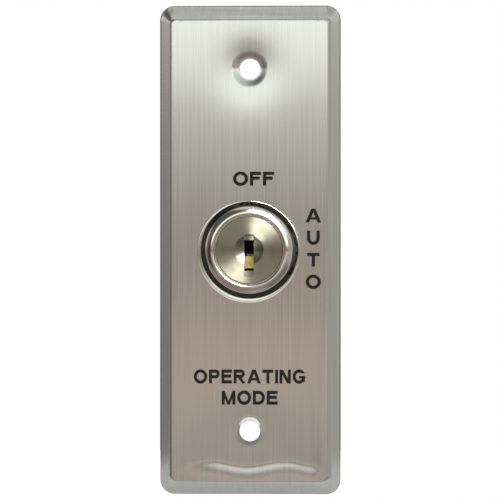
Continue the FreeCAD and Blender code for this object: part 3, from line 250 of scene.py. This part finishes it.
def plate_height(x, z):
    """Height of the plate's front above the wall, its holes left out."""
    x, z = np.asarray(x, float), np.asarray(z, float)
    share, facing = inset_share(x, z)
    side = [np.where(x < 0, a, b) for a, b in zip(BEVELS["left"], BEVELS["right"])]
    end = [np.where(z < 0, a, b) for a, b in zip(BEVELS["bottom"], BEVELS["top"])]
    run, fillet = (a * (1 - facing) + b * facing for a, b in zip(side, end))
    height = bevel_height(share * CORE, run, fillet)
    lift = (height - EDGE_WALL) / (PLATE_DEPTH - EDGE_WALL)
    height = height - face_drop(x, z) * smooth(lift)
    height = height - ROLLED_DROP * np.maximum(1 - share * CORE / ROLLED_EDGE, 0.0) ** 2
    sunk = (DIMPLE_EDGE - np.hypot(x, z - HOLE_HEIGHT)) / (DIMPLE_EDGE - SCREW_HOLE)
    raised = (COLLAR_EDGE - np.hypot(x, z + HOLE_HEIGHT)) / (COLLAR_EDGE - SCREW_HOLE)
    return height - DIMPLE_DEPTH * smooth(sunk) + COLLAR_HEIGHT * np.maximum(raised, 0.0) ** 2


def plate_normals(points):
    """Outward directions of the plate's front, from the slope of its height."""
    step = 0.01
    x = np.clip(points[:, 0], step - HALF_WIDTH, HALF_WIDTH - step)
    z = np.clip(points[:, 1], step - HALF_HEIGHT, HALF_HEIGHT - step)
    slope_x = (plate_height(x + step, z) - plate_height(x - step, z)) / (2 * step)
    slope_z = (plate_height(x, z + step) - plate_height(x, z - step)) / (2 * step)
    normals = np.stack((-slope_x, -np.ones_like(x), -slope_z), axis=1)
    return normals / np.linalg.norm(normals, axis=1, keepdims=True)


def hole_ring(radius, centre, count, flat=None):
    """Points round a hole, clockwise from the top, with two flats if it has them."""
    points = []
    for step in range(count):
        bearing = TURN * step / count
        across = radius * math.sin(bearing)
        if flat is not None:
            across = min(max(across, -flat), flat)
        points.append((across, centre + radius * math.cos(bearing)))
    return points


def outline_ring(share):
    """Points round the plate, clockwise from the top right corner, at this share of the way to the core."""
    along_side, along_end, round_corner = EDGE_POINTS
    radius = PLATE_CORNER + (FACE_CORNER - PLATE_CORNER) * share
    across = HALF_WIDTH - CORE * share - radius
    along = HALF_HEIGHT - CORE * share - radius
    points = []
    corners = ((1, 1, along_side), (1, -1, along_end), (-1, -1, along_side), (-1, 1, along_end))
    for index, (sign_x, sign_z, count) in enumerate(corners):
        for step in range(round_corner + 1):
            angle = TURN / 4 * (index + step / round_corner)
            corner = (sign_x * across, sign_z * along)
            points.append((corner[0] + radius * math.sin(angle), corner[1] + radius * math.cos(angle)))
        here = points[-1]
        next_x, next_z, _ = corners[(index + 1) % 4]
        angle = TURN / 4 * (index + 1)
        there = (next_x * across + radius * math.sin(angle), next_z * along + radius * math.cos(angle))
        for step in range(1, count):
            t = step / count
            points.append((here[0] * (1 - t) + there[0] * t, here[1] * (1 - t) + there[1] * t))
    return points


def plate_layout():
    """One flat triangulation for both skins: rings along the edge and round each hole, and a grid between."""
    layout = []
    loops = []

    def add_loop(points):
        loops.append([len(layout) + index for index in range(len(points))])
        layout.extend(points)

    add_loop(outline_ring(0.0))
    for share in EDGE_SHARES:
        layout.extend(outline_ring(share))
    for centre in (-HOLE_HEIGHT, HOLE_HEIGHT):
        add_loop(hole_ring(SCREW_HOLE, centre, SCREW_POINTS))
        for reach in SCREW_RINGS:
            layout.extend(hole_ring(SCREW_HOLE + reach, centre, SCREW_POINTS))
    add_loop(hole_ring(LOCK_HOLE, 0.0, LOCK_POINTS, LOCK_FLAT))
    layout.extend(hole_ring(LOCK_HOLE + LOCK_RING, 0.0, LOCK_POINTS))
    columns = int((HALF_WIDTH - CORE - GRID_MARGIN) / GRID_PITCH)
    rows = int((HALF_HEIGHT - CORE - GRID_MARGIN) / GRID_PITCH)
    for row in range(-rows, rows + 1):
        for column in range(-columns, columns + 1):
            x, z = column * GRID_PITCH, row * GRID_PITCH
            by_lock = math.hypot(x, z) < LOCK_CLEARING
            by_hole = math.hypot(x, abs(z) - HOLE_HEIGHT) < SCREW_CLEARING
            if not by_lock and not by_hole:
                layout.append((x, z))
    # closer rows where the face is folded
    for row in range(FOLD_ROWS):
        for column in range(-columns, columns + 1):
            layout.append((column * GRID_PITCH + FOLD_ROW_OFFSET, FOLD_ROW_START + row * FOLD_ROW_PITCH))
    result = delaunay_2d_cdt([Vector(point) for point in layout], [], loops, 2, 1e-6)
    return np.array([tuple(point) for point in result[0]]), result[2]


def build_face_plate():
    """Front and back skins, joined by a wall round the edge and through each hole."""
    points, triangles = plate_layout()
    count = len(points)
    outward = plate_normals(points)
    front_y = -plate_height(points[:, 0], points[:, 1])
    back_y = np.minimum(front_y + SHEET / np.maximum(-outward[:, 1], STEEPEST), 0.0)
    vertices = [(x, y, z) for (x, z), y in zip(points, front_y)]
    vertices += [(x, y, z) for (x, z), y in zip(points, back_y)]
    inward = -outward
    inward[back_y > -1e-6] = (0.0, 1.0, 0.0)
    faces = []
    normals = []
    open_edges = set()
    for a, b, c in triangles:
        first, second = points[b] - points[a], points[c] - points[a]
        if first[0] * second[1] - first[1] * second[0] < 0:
            b, c = c, b
        faces.append((a, b, c))
        normals.extend(outward[i] for i in (a, b, c))
        faces.append((c + count, b + count, a + count))
        normals.extend(inward[i] for i in (c, b, a))
        open_edges ^= {(a, b), (b, c), (c, a)}
    for start, end in sorted(open_edges):
        if (end, start) in open_edges:
            continue
        faces.append((end, start, start + count, end + count))
        along = Vector(vertices[start]) - Vector(vertices[end])
        normals.extend([along.cross(Vector((0.0, 1.0, 0.0))).normalized()] * 4)
    make_object("face_plate_skin", vertices, faces, "face_plate", "housing", "brushed_stainless",
                normals=normals)


build_face_plate()


# ---------------------------------------------------------------- lock barrel and dress washer
CREST_RADIUS = 8.42
CONE_RADIUS = 9.98
# (radius, slope in degrees) across the head, from its crest out to its edge
HEAD_SLOPES = [(CREST_RADIUS, 0.0), (8.7, 8.0), (9.78, 27.0), (CONE_RADIUS, 53.0), (HEAD_RADIUS, 59.0)]
BARREL_STEPS = 288
HEAD_STEPS = 60
LIP_STEPS = 8
COUNTERBORE = 8.05
SEAT = -4.6
BORE = 6.4
THREAD_RADIUS = 9.525
BARREL_FLAT = 7.95
THREAD_PITCH = 1.27
THREAD_DEPTH = 0.55
THREAD_STEPS = 8
THREAD_START = FRONT + 0.6
THREAD_CHAMFER = 0.3
END_CHAMFER = 0.6
GROOVE_HALF = 2.7
GROOVE_REACH = 7.15
GROOVE_SPAN = math.radians(40)
GROOVE_END = 9.0
GROOVE_RIM = 0.01
HEAD_CHAMFER = 0.1
NOTCH_DEPTH = 1.3
NOTCH_MARGIN = 0.1
NOTCH_BEARINGS = (math.radians(164.5), math.radians(285.5))


def flatted(radius, bearing):
    """The radius, cut back to the barrel's two flats."""
    side = abs(math.sin(bearing))
    return min(radius, BARREL_FLAT / side) if side > 1e-6 else radius


def flatted_row(radius, y):
    return lambda bearing: (flatted(radius, bearing), y)


def threaded_row(y):
    """A row of the thread, which is as deep at each bearing as its helix says."""
    def row(bearing):
        phase = (y / THREAD_PITCH - bearing / TURN) % 1.0
        return flatted(THREAD_RADIUS - THREAD_DEPTH * abs(2 * phase - 1), bearing), y
    return row


def grooved_row(y):
    """A row of the bore, with the grooves that the wafers spring into at OFF and at AUTO."""
    def row(bearing):
        radius = BORE
        for centre in (0.0, TURN / 4):
            offset = (bearing - centre + TURN / 2) % TURN - TURN / 2
            if abs(offset) < GROOVE_SPAN:
                side = abs(math.sin(offset))
                reach = min(GROOVE_REACH / math.cos(offset), GROOVE_HALF / side if side > 1e-6 else math.inf)
                radius = max(radius, reach)
        return radius, y
    return row


def head_rows():
    """Rows from the edge of the head up to its crest, by adding up its slope."""
    radii, slopes = zip(*HEAD_SLOPES)
    width = (HEAD_RADIUS - CREST_RADIUS) / HEAD_STEPS
    y = CREST
    rows = [plain_row(CREST_RADIUS, y)]
    for step in range(HEAD_STEPS):
        radius = CREST_RADIUS + width * (step + 1)
        y += width * math.tan(math.radians(np.interp(radius - width / 2, radii, slopes)))
        rows.append(plain_row(radius, y))
    return rows[::-1]


def end_row(radius):
    """A row of the barrel's rear end, which steps forward inside the stop notch."""
    def row(bearing):
        middle = (NOTCH_BEARINGS[0] + NOTCH_BEARINGS[1]) / 2
        inside = abs(bearing - middle) < (NOTCH_BEARINGS[1] - NOTCH_BEARINGS[0]) / 2
        return flatted(radius, bearing), BARREL_END - (NOTCH_DEPTH if inside else 0.0)
    return row


def build_lock_barrel():
    """The head from its edge to the crest, down the bore, round the rear end and back along the thread."""
    rows = head_rows()
    lip = CREST_RADIUS - COUNTERBORE
    for step in range(1, LIP_STEPS + 1):
        angle = TURN / 4 * step / LIP_STEPS
        rows.append(plain_row(CREST_RADIUS - lip * math.sin(angle), CREST + lip * (1 - math.cos(angle))))
    rows.append(plain_row(COUNTERBORE, SEAT))
    rows.append(grooved_row(SEAT))
    rows.append(grooved_row(SEAT + GROOVE_RIM))
    rows.append(grooved_row(GROOVE_END))
    rows.append(plain_row(BORE, GROOVE_END + 2 * GROOVE_RIM))
    rows.append(plain_row(BORE, BARREL_END - NOTCH_DEPTH - 2 * NOTCH_MARGIN))
    rows.append(end_row(BORE))
    rows.append(end_row(THREAD_RADIUS - END_CHAMFER))
    y = BARREL_END - NOTCH_DEPTH - NOTCH_MARGIN
    rows.append(flatted_row(THREAD_RADIUS - THREAD_DEPTH, y))
    y -= NOTCH_MARGIN
    while y > THREAD_START:
        rows.append(threaded_row(y))
        y -= THREAD_PITCH / THREAD_STEPS
    rows.append(flatted_row(THREAD_RADIUS - THREAD_DEPTH, THREAD_START))
    rows.append(flatted_row(THREAD_RADIUS, THREAD_START - THREAD_CHAMFER))
    rows.append(flatted_row(THREAD_RADIUS, HEAD_BACK))
    rows.append(plain_row(HEAD_RADIUS - HEAD_CHAMFER, HEAD_BACK))
    rows.append(plain_row(HEAD_RADIUS, HEAD_BACK - HEAD_CHAMFER))
    vertices, faces = ring_sweep(rows, BARREL_STEPS)
    make_object("lock_barrel_turned", vertices, faces, "lock_barrel", "housing", "polished_nickel", sharp=32)


build_lock_barrel()

WASHER_HOLE = 10.15
WASHER_STEPS = 192


def build_dress_washer():
    """A thin ring off the lock's centre, dished between a rolled edge and its hole."""
    centre = ((dress_low.x + dress_high.x) / 2, (dress_low.z + dress_high.z) / 2)
    outer = (dress_high.x - dress_low.x) / 2
    profile = [
        (WASHER_HOLE, FRONT),
        (outer - 0.04, FRONT),
        (outer, FRONT - 0.05),
        (outer, HEAD_BACK + 0.13),
        (outer - 0.02, HEAD_BACK + 0.09),
        (outer - 0.06, HEAD_BACK + 0.08),
        (outer - 0.40, HEAD_BACK + 0.11),
        (outer - 0.42, HEAD_BACK + 0.10),
        (outer - 0.55, HEAD_BACK + 0.01),
        (outer - 0.58, HEAD_BACK),
        (WASHER_HOLE + 0.02, HEAD_BACK + 0.035),
        (WASHER_HOLE, HEAD_BACK + 0.06),
    ]
    rows = [plain_row(*point) for point in profile]
    vertices, faces = ring_sweep(rows, WASHER_STEPS, centre)
    faces = [tuple(reversed(face)) for face in faces]
    make_object("dress_washer_turned", vertices, faces, "dress_washer", "housing", "polished_nickel",
                sharp=20)


build_dress_washer()


# ---------------------------------------------------------------- materials
BUMP_SIZE = 0.00002
BRUSH_SIZE = 0.00001
BRUSH_TURN = 0.25
# a painted dark reflection on the lock head's steep cone, and the places in millimetres where it fades in
PAINTED_DARK_REFLECTION = (0.12, 0.12, 0.105)
PAINTED_REFLECTION_FROM = (CONE_RADIUS - 0.05, CONE_RADIUS + 0.05)
PAINTED_REFLECTION_UNTIL = (HEAD_BACK - 0.04, HEAD_BACK - 0.02)
# painted shade inside the keyway, and the places in millimetres where it fades in
KEYWAY_PAINTED_SHADE = (0.012, 0.010, 0.008)
PAINTED_SHADE_FROM = (-5.8, -4.8)
PAINTED_SHADE_UNTIL = (16.0, 18.0)


def add_node(tree, kind, inputs=(), **settings):
    """A shader node with its settings, and each input either linked to a socket or given its value."""
    node = tree.nodes.new(kind)
    for key, value in settings.items():
        setattr(node, key, value)
    for key, value in dict(inputs).items():
        if isinstance(value, bpy.types.NodeSocket):
            tree.links.new(value, node.inputs[key])
        else:
            node.inputs[key].default_value = value
    return node


def noise(tree, scale, stretch=(1, 1, 1), detail=4.0, roughness=0.6):
    """A noise texture in the object's own frame, stretched along an axis."""
    place = add_node(tree, "ShaderNodeTexCoord")
    mapping = add_node(tree, "ShaderNodeMapping", {"Vector": place.outputs["Object"], "Scale": stretch})
    return add_node(tree, "ShaderNodeTexNoise",
                    {"Vector": mapping.outputs["Vector"], "Scale": scale, "Detail": detail,
                     "Roughness": roughness}).outputs["Fac"]


def ramp(tree, factor, low, high, start=0.3, end=0.7):
    """A colour that runs from low to high as the factor goes from start to end."""
    node = add_node(tree, "ShaderNodeValToRGB", {"Fac": factor})
    for element, place, colour in zip(node.color_ramp.elements, (start, end), (low, high)):
        element.position = place
        element.color = (*colour, 1.0)
    return node.outputs["Color"]


def spread(tree, factor, low, high, start=0.3, end=0.7):
    """A number that runs from low to high as the factor goes from start to end."""
    node = add_node(tree, "ShaderNodeMapRange",
                    {"Value": factor, "From Min": start, "From Max": end, "To Min": low, "To Max": high})
    return node.outputs["Result"]


def faded(tree, place, low, high, edges):
    """A number that runs from low to high between two places along an axis, given in millimetres."""
    return spread(tree, place, low, high, edges[0] * MM, edges[1] * MM)


def paint(tree, mask, over, under):
    """One colour laid over another where the mask is 1. Each is a socket or three numbers."""
    over, under = (c if isinstance(c, bpy.types.NodeSocket) else (*c, 1.0) for c in (over, under))
    return add_node(tree, "ShaderNodeMix", {"Factor": mask, 6: under, 7: over}, data_type="RGBA").outputs[2]


def surface(name, colours, roughness, grain, metallic=1.0, bump=0.0, bump_size=BUMP_SIZE):
    """A material whose colour, roughness and relief all follow one grain."""
    material = bpy.data.materials.new(name)
    material.use_nodes = True
    tree = material.node_tree
    shader = tree.nodes["Principled BSDF"]
    factor = noise(tree, **grain)
    tree.links.new(ramp(tree, factor, *colours), shader.inputs["Base Color"])
    tree.links.new(spread(tree, factor, *roughness), shader.inputs["Roughness"])
    shader.inputs["Metallic"].default_value = metallic
    if bump:
        relief = add_node(tree, "ShaderNodeBump", {"Strength": bump, "Distance": bump_size, "Height": factor})
        tree.links.new(relief.outputs["Normal"], shader.inputs["Normal"])
    return material


def brushed(name, colours, roughness, grain, axis, anisotropy, bump):
    """A surface whose brush lines run along the ring or line that the radial tangent gives."""
    material = surface(name, colours, roughness, grain, bump=bump, bump_size=BRUSH_SIZE)
    tree = material.node_tree
    shader = tree.nodes["Principled BSDF"]
    tangent = add_node(tree, "ShaderNodeTangent", direction_type="RADIAL", axis=axis)
    tree.links.new(tangent.outputs["Tangent"], shader.inputs["Tangent"])
    shader.inputs["Anisotropic"].default_value = anisotropy
    return material


def repaint(material, first, second, colour):
    """Lays a colour over the material's own where both masks are 1."""
    tree = material.node_tree
    base = tree.nodes["Principled BSDF"].inputs["Base Color"]
    mask = add_node(tree, "ShaderNodeMath", {0: first, 1: second}, operation="MULTIPLY")
    tree.links.new(paint(tree, mask.outputs[0], colour, base.links[0].from_socket), base)


def polished_nickel():
    """Bright plate, with a dark reflection painted onto the steep outer cone of the lock's head."""
    material = surface("polished_nickel", ((0.72, 0.70, 0.66), (0.80, 0.78, 0.74)), (0.05, 0.09),
                       {"scale": 420.0, "detail": 3.0}, bump=0.06)
    tree = material.node_tree
    place = add_node(tree, "ShaderNodeTexCoord").outputs["Object"]
    flat = add_node(tree, "ShaderNodeVectorMath", {0: place, 1: (1.0, 0.0, 1.0)}, operation="MULTIPLY")
    radius = add_node(tree, "ShaderNodeVectorMath", {0: flat.outputs["Vector"]}, operation="LENGTH")
    depth = add_node(tree, "ShaderNodeSeparateXYZ", {"Vector": place}).outputs["Y"]
    cone = faded(tree, radius.outputs["Value"], 0.0, 1.0, PAINTED_REFLECTION_FROM)
    proud = faded(tree, depth, 1.0, 0.0, PAINTED_REFLECTION_UNTIL)
    # painted dark reflection laid over the head's steep cone
    repaint(material, cone, proud, PAINTED_DARK_REFLECTION)
    return material


def turned_nickel():
    """Fine turning rings on the face, and painted shade darkening the inside where the key goes."""
    material = brushed("turned_nickel", ((0.235, 0.225, 0.18), (0.28, 0.265, 0.215)), (0.21, 0.25),
                       {"scale": 300.0, "detail": 2.0}, "Y", 0.93, 0.02)
    tree = material.node_tree
    tree.nodes["Principled BSDF"].inputs["Anisotropic Rotation"].default_value = BRUSH_TURN
    place = add_node(tree, "ShaderNodeTexCoord").outputs["Object"]
    depth = add_node(tree, "ShaderNodeSeparateXYZ", {"Vector": place}).outputs["Y"]
    start = faded(tree, depth, 0.0, 1.0, PAINTED_SHADE_FROM)
    end = faded(tree, depth, 1.0, 0.0, PAINTED_SHADE_UNTIL)
    # painted shade laid over the inside of the keyway
    repaint(material, start, end, KEYWAY_PAINTED_SHADE)
    return material


# grain of the plate's vertical brushing
VERTICAL = {"scale": 1.0, "stretch": (2600, 300, 28), "detail": 5.0, "roughness": 0.65}
materials = {
    "brushed_stainless": brushed(
        "brushed_stainless", ((0.575, 0.58, 0.56), (0.685, 0.69, 0.67)), (0.185, 0.215), VERTICAL, "Z", 0.95,
        0.10),
    "polished_nickel": polished_nickel(),
    "turned_nickel": turned_nickel(),
    "wafer_brass": surface(
        "wafer_brass", ((0.20, 0.17, 0.06), (0.30, 0.25, 0.10)), (0.25, 0.4),
        {"scale": 800.0, "detail": 4.0}, bump=0.2),
    "spring_steel": surface(
        "spring_steel", ((0.42, 0.42, 0.43), (0.56, 0.56, 0.57)), (0.22, 0.36),
        {"scale": 1.0, "stretch": (300, 1500, 300)}, bump=0.15),
    "zinc_steel": surface(
        "zinc_steel", ((0.56, 0.57, 0.60), (0.70, 0.71, 0.72)), (0.2, 0.34),
        {"scale": 600.0, "detail": 5.0}, bump=0.12),
    "galvanised_steel": surface(
        "galvanised_steel", ((0.46, 0.47, 0.49), (0.63, 0.64, 0.65)), (0.3, 0.46),
        {"scale": 240.0, "detail": 6.0, "roughness": 0.7}, bump=0.15),
    "contact_copper": surface(
        "contact_copper", ((0.62, 0.33, 0.20), (0.76, 0.45, 0.28)), (0.22, 0.36),
        {"scale": 1.0, "stretch": (200, 1600, 800)}, bump=0.12),
    "contact_silver": surface(
        "contact_silver", ((0.72, 0.72, 0.70), (0.84, 0.84, 0.82)), (0.2, 0.34),
        {"scale": 900.0}, bump=0.12),
    "tinned_brass": surface(
        "tinned_brass", ((0.62, 0.55, 0.36), (0.78, 0.71, 0.50)), (0.24, 0.38),
        {"scale": 1.0, "stretch": (500, 900, 500)}, bump=0.12),
    "legend_ink": surface(
        "legend_ink", ((0.012, 0.010, 0.010), (0.030, 0.024, 0.024)), (0.5, 0.7),
        {"scale": 1200.0, "detail": 3.0}, metallic=0.0, bump=0.25),
    "cam_acetal": surface(
        "cam_acetal", ((0.74, 0.72, 0.66), (0.84, 0.82, 0.77)), (0.35, 0.5),
        {"scale": 500.0}, metallic=0.0, bump=0.2),
    "switch_phenolic": surface(
        "switch_phenolic", ((0.018, 0.018, 0.020), (0.045, 0.044, 0.046)), (0.38, 0.55),
        {"scale": 700.0, "detail": 6.0}, metallic=0.0, bump=0.3),
    "cover_phenolic": surface(
        "cover_phenolic", ((0.20, 0.022, 0.016), (0.30, 0.045, 0.032)), (0.36, 0.52),
        {"scale": 700.0, "detail": 6.0}, metallic=0.0, bump=0.3),
    "plunger_red": surface(
        "plunger_red", ((0.42, 0.025, 0.02), (0.55, 0.05, 0.04)), (0.3, 0.45),
        {"scale": 600.0}, metallic=0.0, bump=0.2),
    "insulating_paper": surface(
        "insulating_paper", ((0.33, 0.32, 0.28), (0.46, 0.45, 0.40)), (0.7, 0.85),
        {"scale": 1.0, "stretch": (1500, 600, 900)}, metallic=0.0, bump=0.4),
}

slot_of = {part["node"]: part["material_slot"] for part in frame["record"]["subparts"]}
for node, obj in nodes.items():
    for holder in obj.material_slots:
        holder.material = materials[slot_of[node]]
for obj, slot_name in pieces:
    obj.data.materials.append(materials[slot_name])


# ---------------------------------------------------------------- floor, studio and camera
FLOOR_HALF = 0.14
FLOOR_FRONT = -0.014
FLOOR_BACK = 0.2
FLOOR_GAP = 0.00002
FLOOR_GLOW = 0.27


def build_floor():
    """A pale floor that the plate stands on, kept short in front so that the steel doesn't mirror it."""
    mesh = bpy.data.meshes.new("floor")
    level = cad_box[0].z - FLOOR_GAP
    corners = [(-FLOOR_HALF, FLOOR_FRONT, level), (FLOOR_HALF, FLOOR_FRONT, level),
               (FLOOR_HALF, FLOOR_BACK, level), (-FLOOR_HALF, FLOOR_BACK, level)]
    mesh.from_pydata(corners, [], [(0, 1, 2, 3)])
    floor = bpy.data.objects.new("floor", mesh)
    bpy.context.scene.collection.objects.link(floor)
    material = surface("floor_paint", ((0.86, 0.86, 0.86), (0.9, 0.9, 0.9)), (0.8, 0.9), {"scale": 12.0},
                       metallic=0.0)
    tree = material.node_tree
    shader = tree.nodes["Principled BSDF"]
    shader.inputs["Emission Color"].default_value = (1, 1, 1, 1)
    ray = add_node(tree, "ShaderNodeLightPath")
    glow = spread(tree, ray.outputs["Is Camera Ray"], FLOOR_GLOW, 1.0, 0.0, 1.0)
    tree.links.new(glow, shader.inputs["Emission Strength"])
    mesh.materials.append(material)


build_floor()


def toward(bearing, off_axis):
    """Direction by its bearing, clockwise from straight up, and its angle from the way the plate faces."""
    bearing, off_axis = math.radians(bearing), math.radians(off_axis)
    return Vector((math.sin(off_axis) * math.sin(bearing), -math.cos(off_axis),
                   math.sin(off_axis) * math.cos(bearing)))


# brightness of the room against height, from straight down (-1) to straight up (1)
ROOM_LEVELS = [
    (-1.00, (0.60, 0.60, 0.58)),
    (-0.40, (0.34, 0.28, 0.26)),
    (-0.12, (0.50, 0.46, 0.42)),
    (-0.06, (0.54, 0.485, 0.42)),
    (-0.042, (0.64, 0.53, 0.46)),
    (-0.028, (1.13, 0.86, 0.74)),
    (-0.016, (0.34, 0.275, 0.245)),
    (0.0, (0.25, 0.21, 0.185)),
    (0.012, (0.17, 0.155, 0.135)),
    (0.024, (0.50, 0.475, 0.425)),
    (0.04, (1.00, 1.00, 0.93)),
    (0.06, (1.26, 1.29, 1.21)),
    (0.09, (1.62, 1.64, 1.56)),
    (0.11, (1.55, 1.58, 1.50)),
    (0.16, (1.12, 1.16, 1.12)),
    (0.40, (0.8, 0.82, 0.8)),
    (0.80, (0.57, 0.58, 0.56)),
    (1.00, (0.57, 0.58, 0.56)),
]
# where parts of the room begin and are complete, by minus the cosine of the angle off the plate's axis
SIDES_START = (-0.72, -0.52)
BEHIND_START = (-0.26, -0.12)
FAR_START = (0.3, 0.5)
# the same for parts that begin with the way to the right, and with height
RIGHT_START = (-0.6, 0.6)
HIGH_START = (0.0, 0.12)
ENDS_START = (0.5, 0.9)
DARK_SIDES = (0.27, 0.25, 0.23)
BEHIND_LEFT = (0.33, 0.30, 0.27)
BEHIND_RIGHT = (0.51, 0.505, 0.455)
BEHIND_HIGH = (0.85, 0.83, 0.77)
BEHIND_ENDS = (0.76, 0.77, 0.745)
FAR_BEHIND = (0.08, 0.08, 0.075)
# (bearing, off axis, full within, gone beyond, colour) of patches in the room, painted in this order
ROOM_PATCHES = [
    (210, 38, 10, 26, (0.30, 0.22, 0.20)),
    (135, 38, 10, 26, (0.19, 0.18, 0.155)),
    (270, 38, 10, 22, (0.06, 0.055, 0.05)),
    (283, 40, 3, 8, (0.20, 0.05, 0.045)),
    (322, 46, 18, 32, (0.10, 0.10, 0.085)),
    (135, 66, 10, 24, (0.25, 0.25, 0.20)),
    (90, 62, 12, 26, (0.46, 0.46, 0.43)),
    (90, 40, 8, 18, (0.44, 0.44, 0.40)),
    (0, 58, 12, 24, (0.64, 0.65, 0.62)),
    (280, 64, 8, 20, (0.34, 0.32, 0.29)),
    (315, 92, 8, 22, (0.10, 0.10, 0.09)),
    (45, 96, 8, 20, (1.05, 1.0, 0.97)),
    (240, 100, 10, 30, (0.22, 0.17, 0.14)),
]


def build_studio():
    """A white room to the camera; to the metal, a bright ceiling, a level dim band, and dark sides."""
    world = bpy.data.worlds.new("studio")
    world.use_nodes = True
    bpy.context.scene.world = world
    tree = world.node_tree
    tree.nodes.clear()
    direction = add_node(tree, "ShaderNodeTexCoord").outputs["Generated"]
    parts = add_node(tree, "ShaderNodeSeparateXYZ", {"Vector": direction}).outputs
    level = add_node(tree, "ShaderNodeMapRange", {"Value": parts["Z"], "From Min": -1.0, "From Max": 1.0})
    sky = add_node(tree, "ShaderNodeValToRGB", {"Fac": level.outputs["Result"]})
    elements = sky.color_ramp.elements
    while len(elements) < len(ROOM_LEVELS):
        elements.new(0.5)
    for element, (height, colour) in zip(elements, ROOM_LEVELS):
        element.position = (height + 1) / 2
        element.color = (*colour, 1.0)

    def ramped(value, start, end):
        return add_node(tree, "ShaderNodeMapRange", {"Value": value, "From Min": start, "From Max": end},
                        interpolation_type="SMOOTHSTEP").outputs["Result"]

    room = paint(tree, ramped(parts["Y"], *SIDES_START), DARK_SIDES, sky.outputs["Color"])
    behind = ramped(parts["Y"], *BEHIND_START)
    around = paint(tree, ramped(parts["X"], *RIGHT_START), BEHIND_RIGHT, BEHIND_LEFT)
    height = add_node(tree, "ShaderNodeMath", {0: parts["Z"]}, operation="ABSOLUTE")
    around = paint(tree, ramped(parts["Z"], *HIGH_START), BEHIND_HIGH, around)
    around = paint(tree, ramped(height.outputs[0], *ENDS_START), BEHIND_ENDS, around)
    around = paint(tree, ramped(parts["Y"], *FAR_START), FAR_BEHIND, around)
    room = paint(tree, behind, around, room)
    for bearing, off_axis, full, gone, colour in ROOM_PATCHES:
        closeness = add_node(tree, "ShaderNodeVectorMath", {0: direction, 1: toward(bearing, off_axis)},
                             operation="DOT_PRODUCT")
        mask = ramped(closeness.outputs["Value"], math.cos(math.radians(gone)), math.cos(math.radians(full)))
        room = paint(tree, mask, colour, room)
    ray = add_node(tree, "ShaderNodeLightPath")
    seen = paint(tree, ray.outputs["Is Camera Ray"], (1.0, 1.0, 1.0), room)
    background = add_node(tree, "ShaderNodeBackground", {"Color": seen})
    output = add_node(tree, "ShaderNodeOutputWorld")
    tree.links.new(background.outputs[0], output.inputs["Surface"])


build_studio()

# angles in degrees, lengths in metres
KEY_BEARING = 25
KEY_OFF_AXIS = 27
KEY_DISTANCE = 1.3
KEY_SIZE = 0.55
KEY_RADIANCE = 27.0
KEY_COLOUR = (1.0, 0.99, 0.91)
LOCK_PIECES = ["lock_barrel_turned", "dress_washer_turned", "plug", "wafer_1"]


def add_key_light():
    """A square light that falls on the lock alone, and leaves the plate to the room."""
    light = bpy.data.lights.new("key_light", "AREA")
    light.shape = "RECTANGLE"
    light.size, light.size_y = KEY_SIZE, KEY_SIZE
    light.color = KEY_COLOUR
    light.energy = KEY_RADIANCE * math.pi * KEY_SIZE * KEY_SIZE
    obj = bpy.data.objects.new("key_light", light)
    aim = toward(KEY_BEARING, KEY_OFF_AXIS)
    obj.location = aim * KEY_DISTANCE
    obj.rotation_mode = "QUATERNION"
    obj.rotation_quaternion = aim.to_track_quat("Z", "Y")
    bpy.context.scene.collection.objects.link(obj)
    lit = bpy.data.collections.new("lock_pieces")
    for name in LOCK_PIECES:
        lit.objects.link(bpy.data.objects[name])
    obj.light_linking.receiver_collection = lit


add_key_light()

CAMERA_LENS = 280.0
CAMERA_DISTANCE = 0.896
CAMERA_AZIMUTH = 2.8
CAMERA_AIM = Vector((0.0, -0.0016, 0.0))


def add_camera():
    """A long lens, level with the plate and a little to the right of its axis."""
    camera = bpy.data.cameras.new("camera")
    camera.lens = CAMERA_LENS
    camera.sensor_width = 36.0
    camera.clip_start, camera.clip_end = 0.05, 10.0
    obj = bpy.data.objects.new("camera", camera)
    azimuth = math.radians(CAMERA_AZIMUTH)
    back = Vector((math.sin(azimuth), -math.cos(azimuth), 0.0))
    obj.location = CAMERA_AIM + back * CAMERA_DISTANCE
    obj.rotation_mode = "QUATERNION"
    obj.rotation_quaternion = (-back).to_track_quat("-Z", "Y")
    bpy.context.scene.collection.objects.link(obj)
    bpy.context.scene.camera = obj


add_camera()
bpy.context.scene.view_settings.view_transform = "Standard"
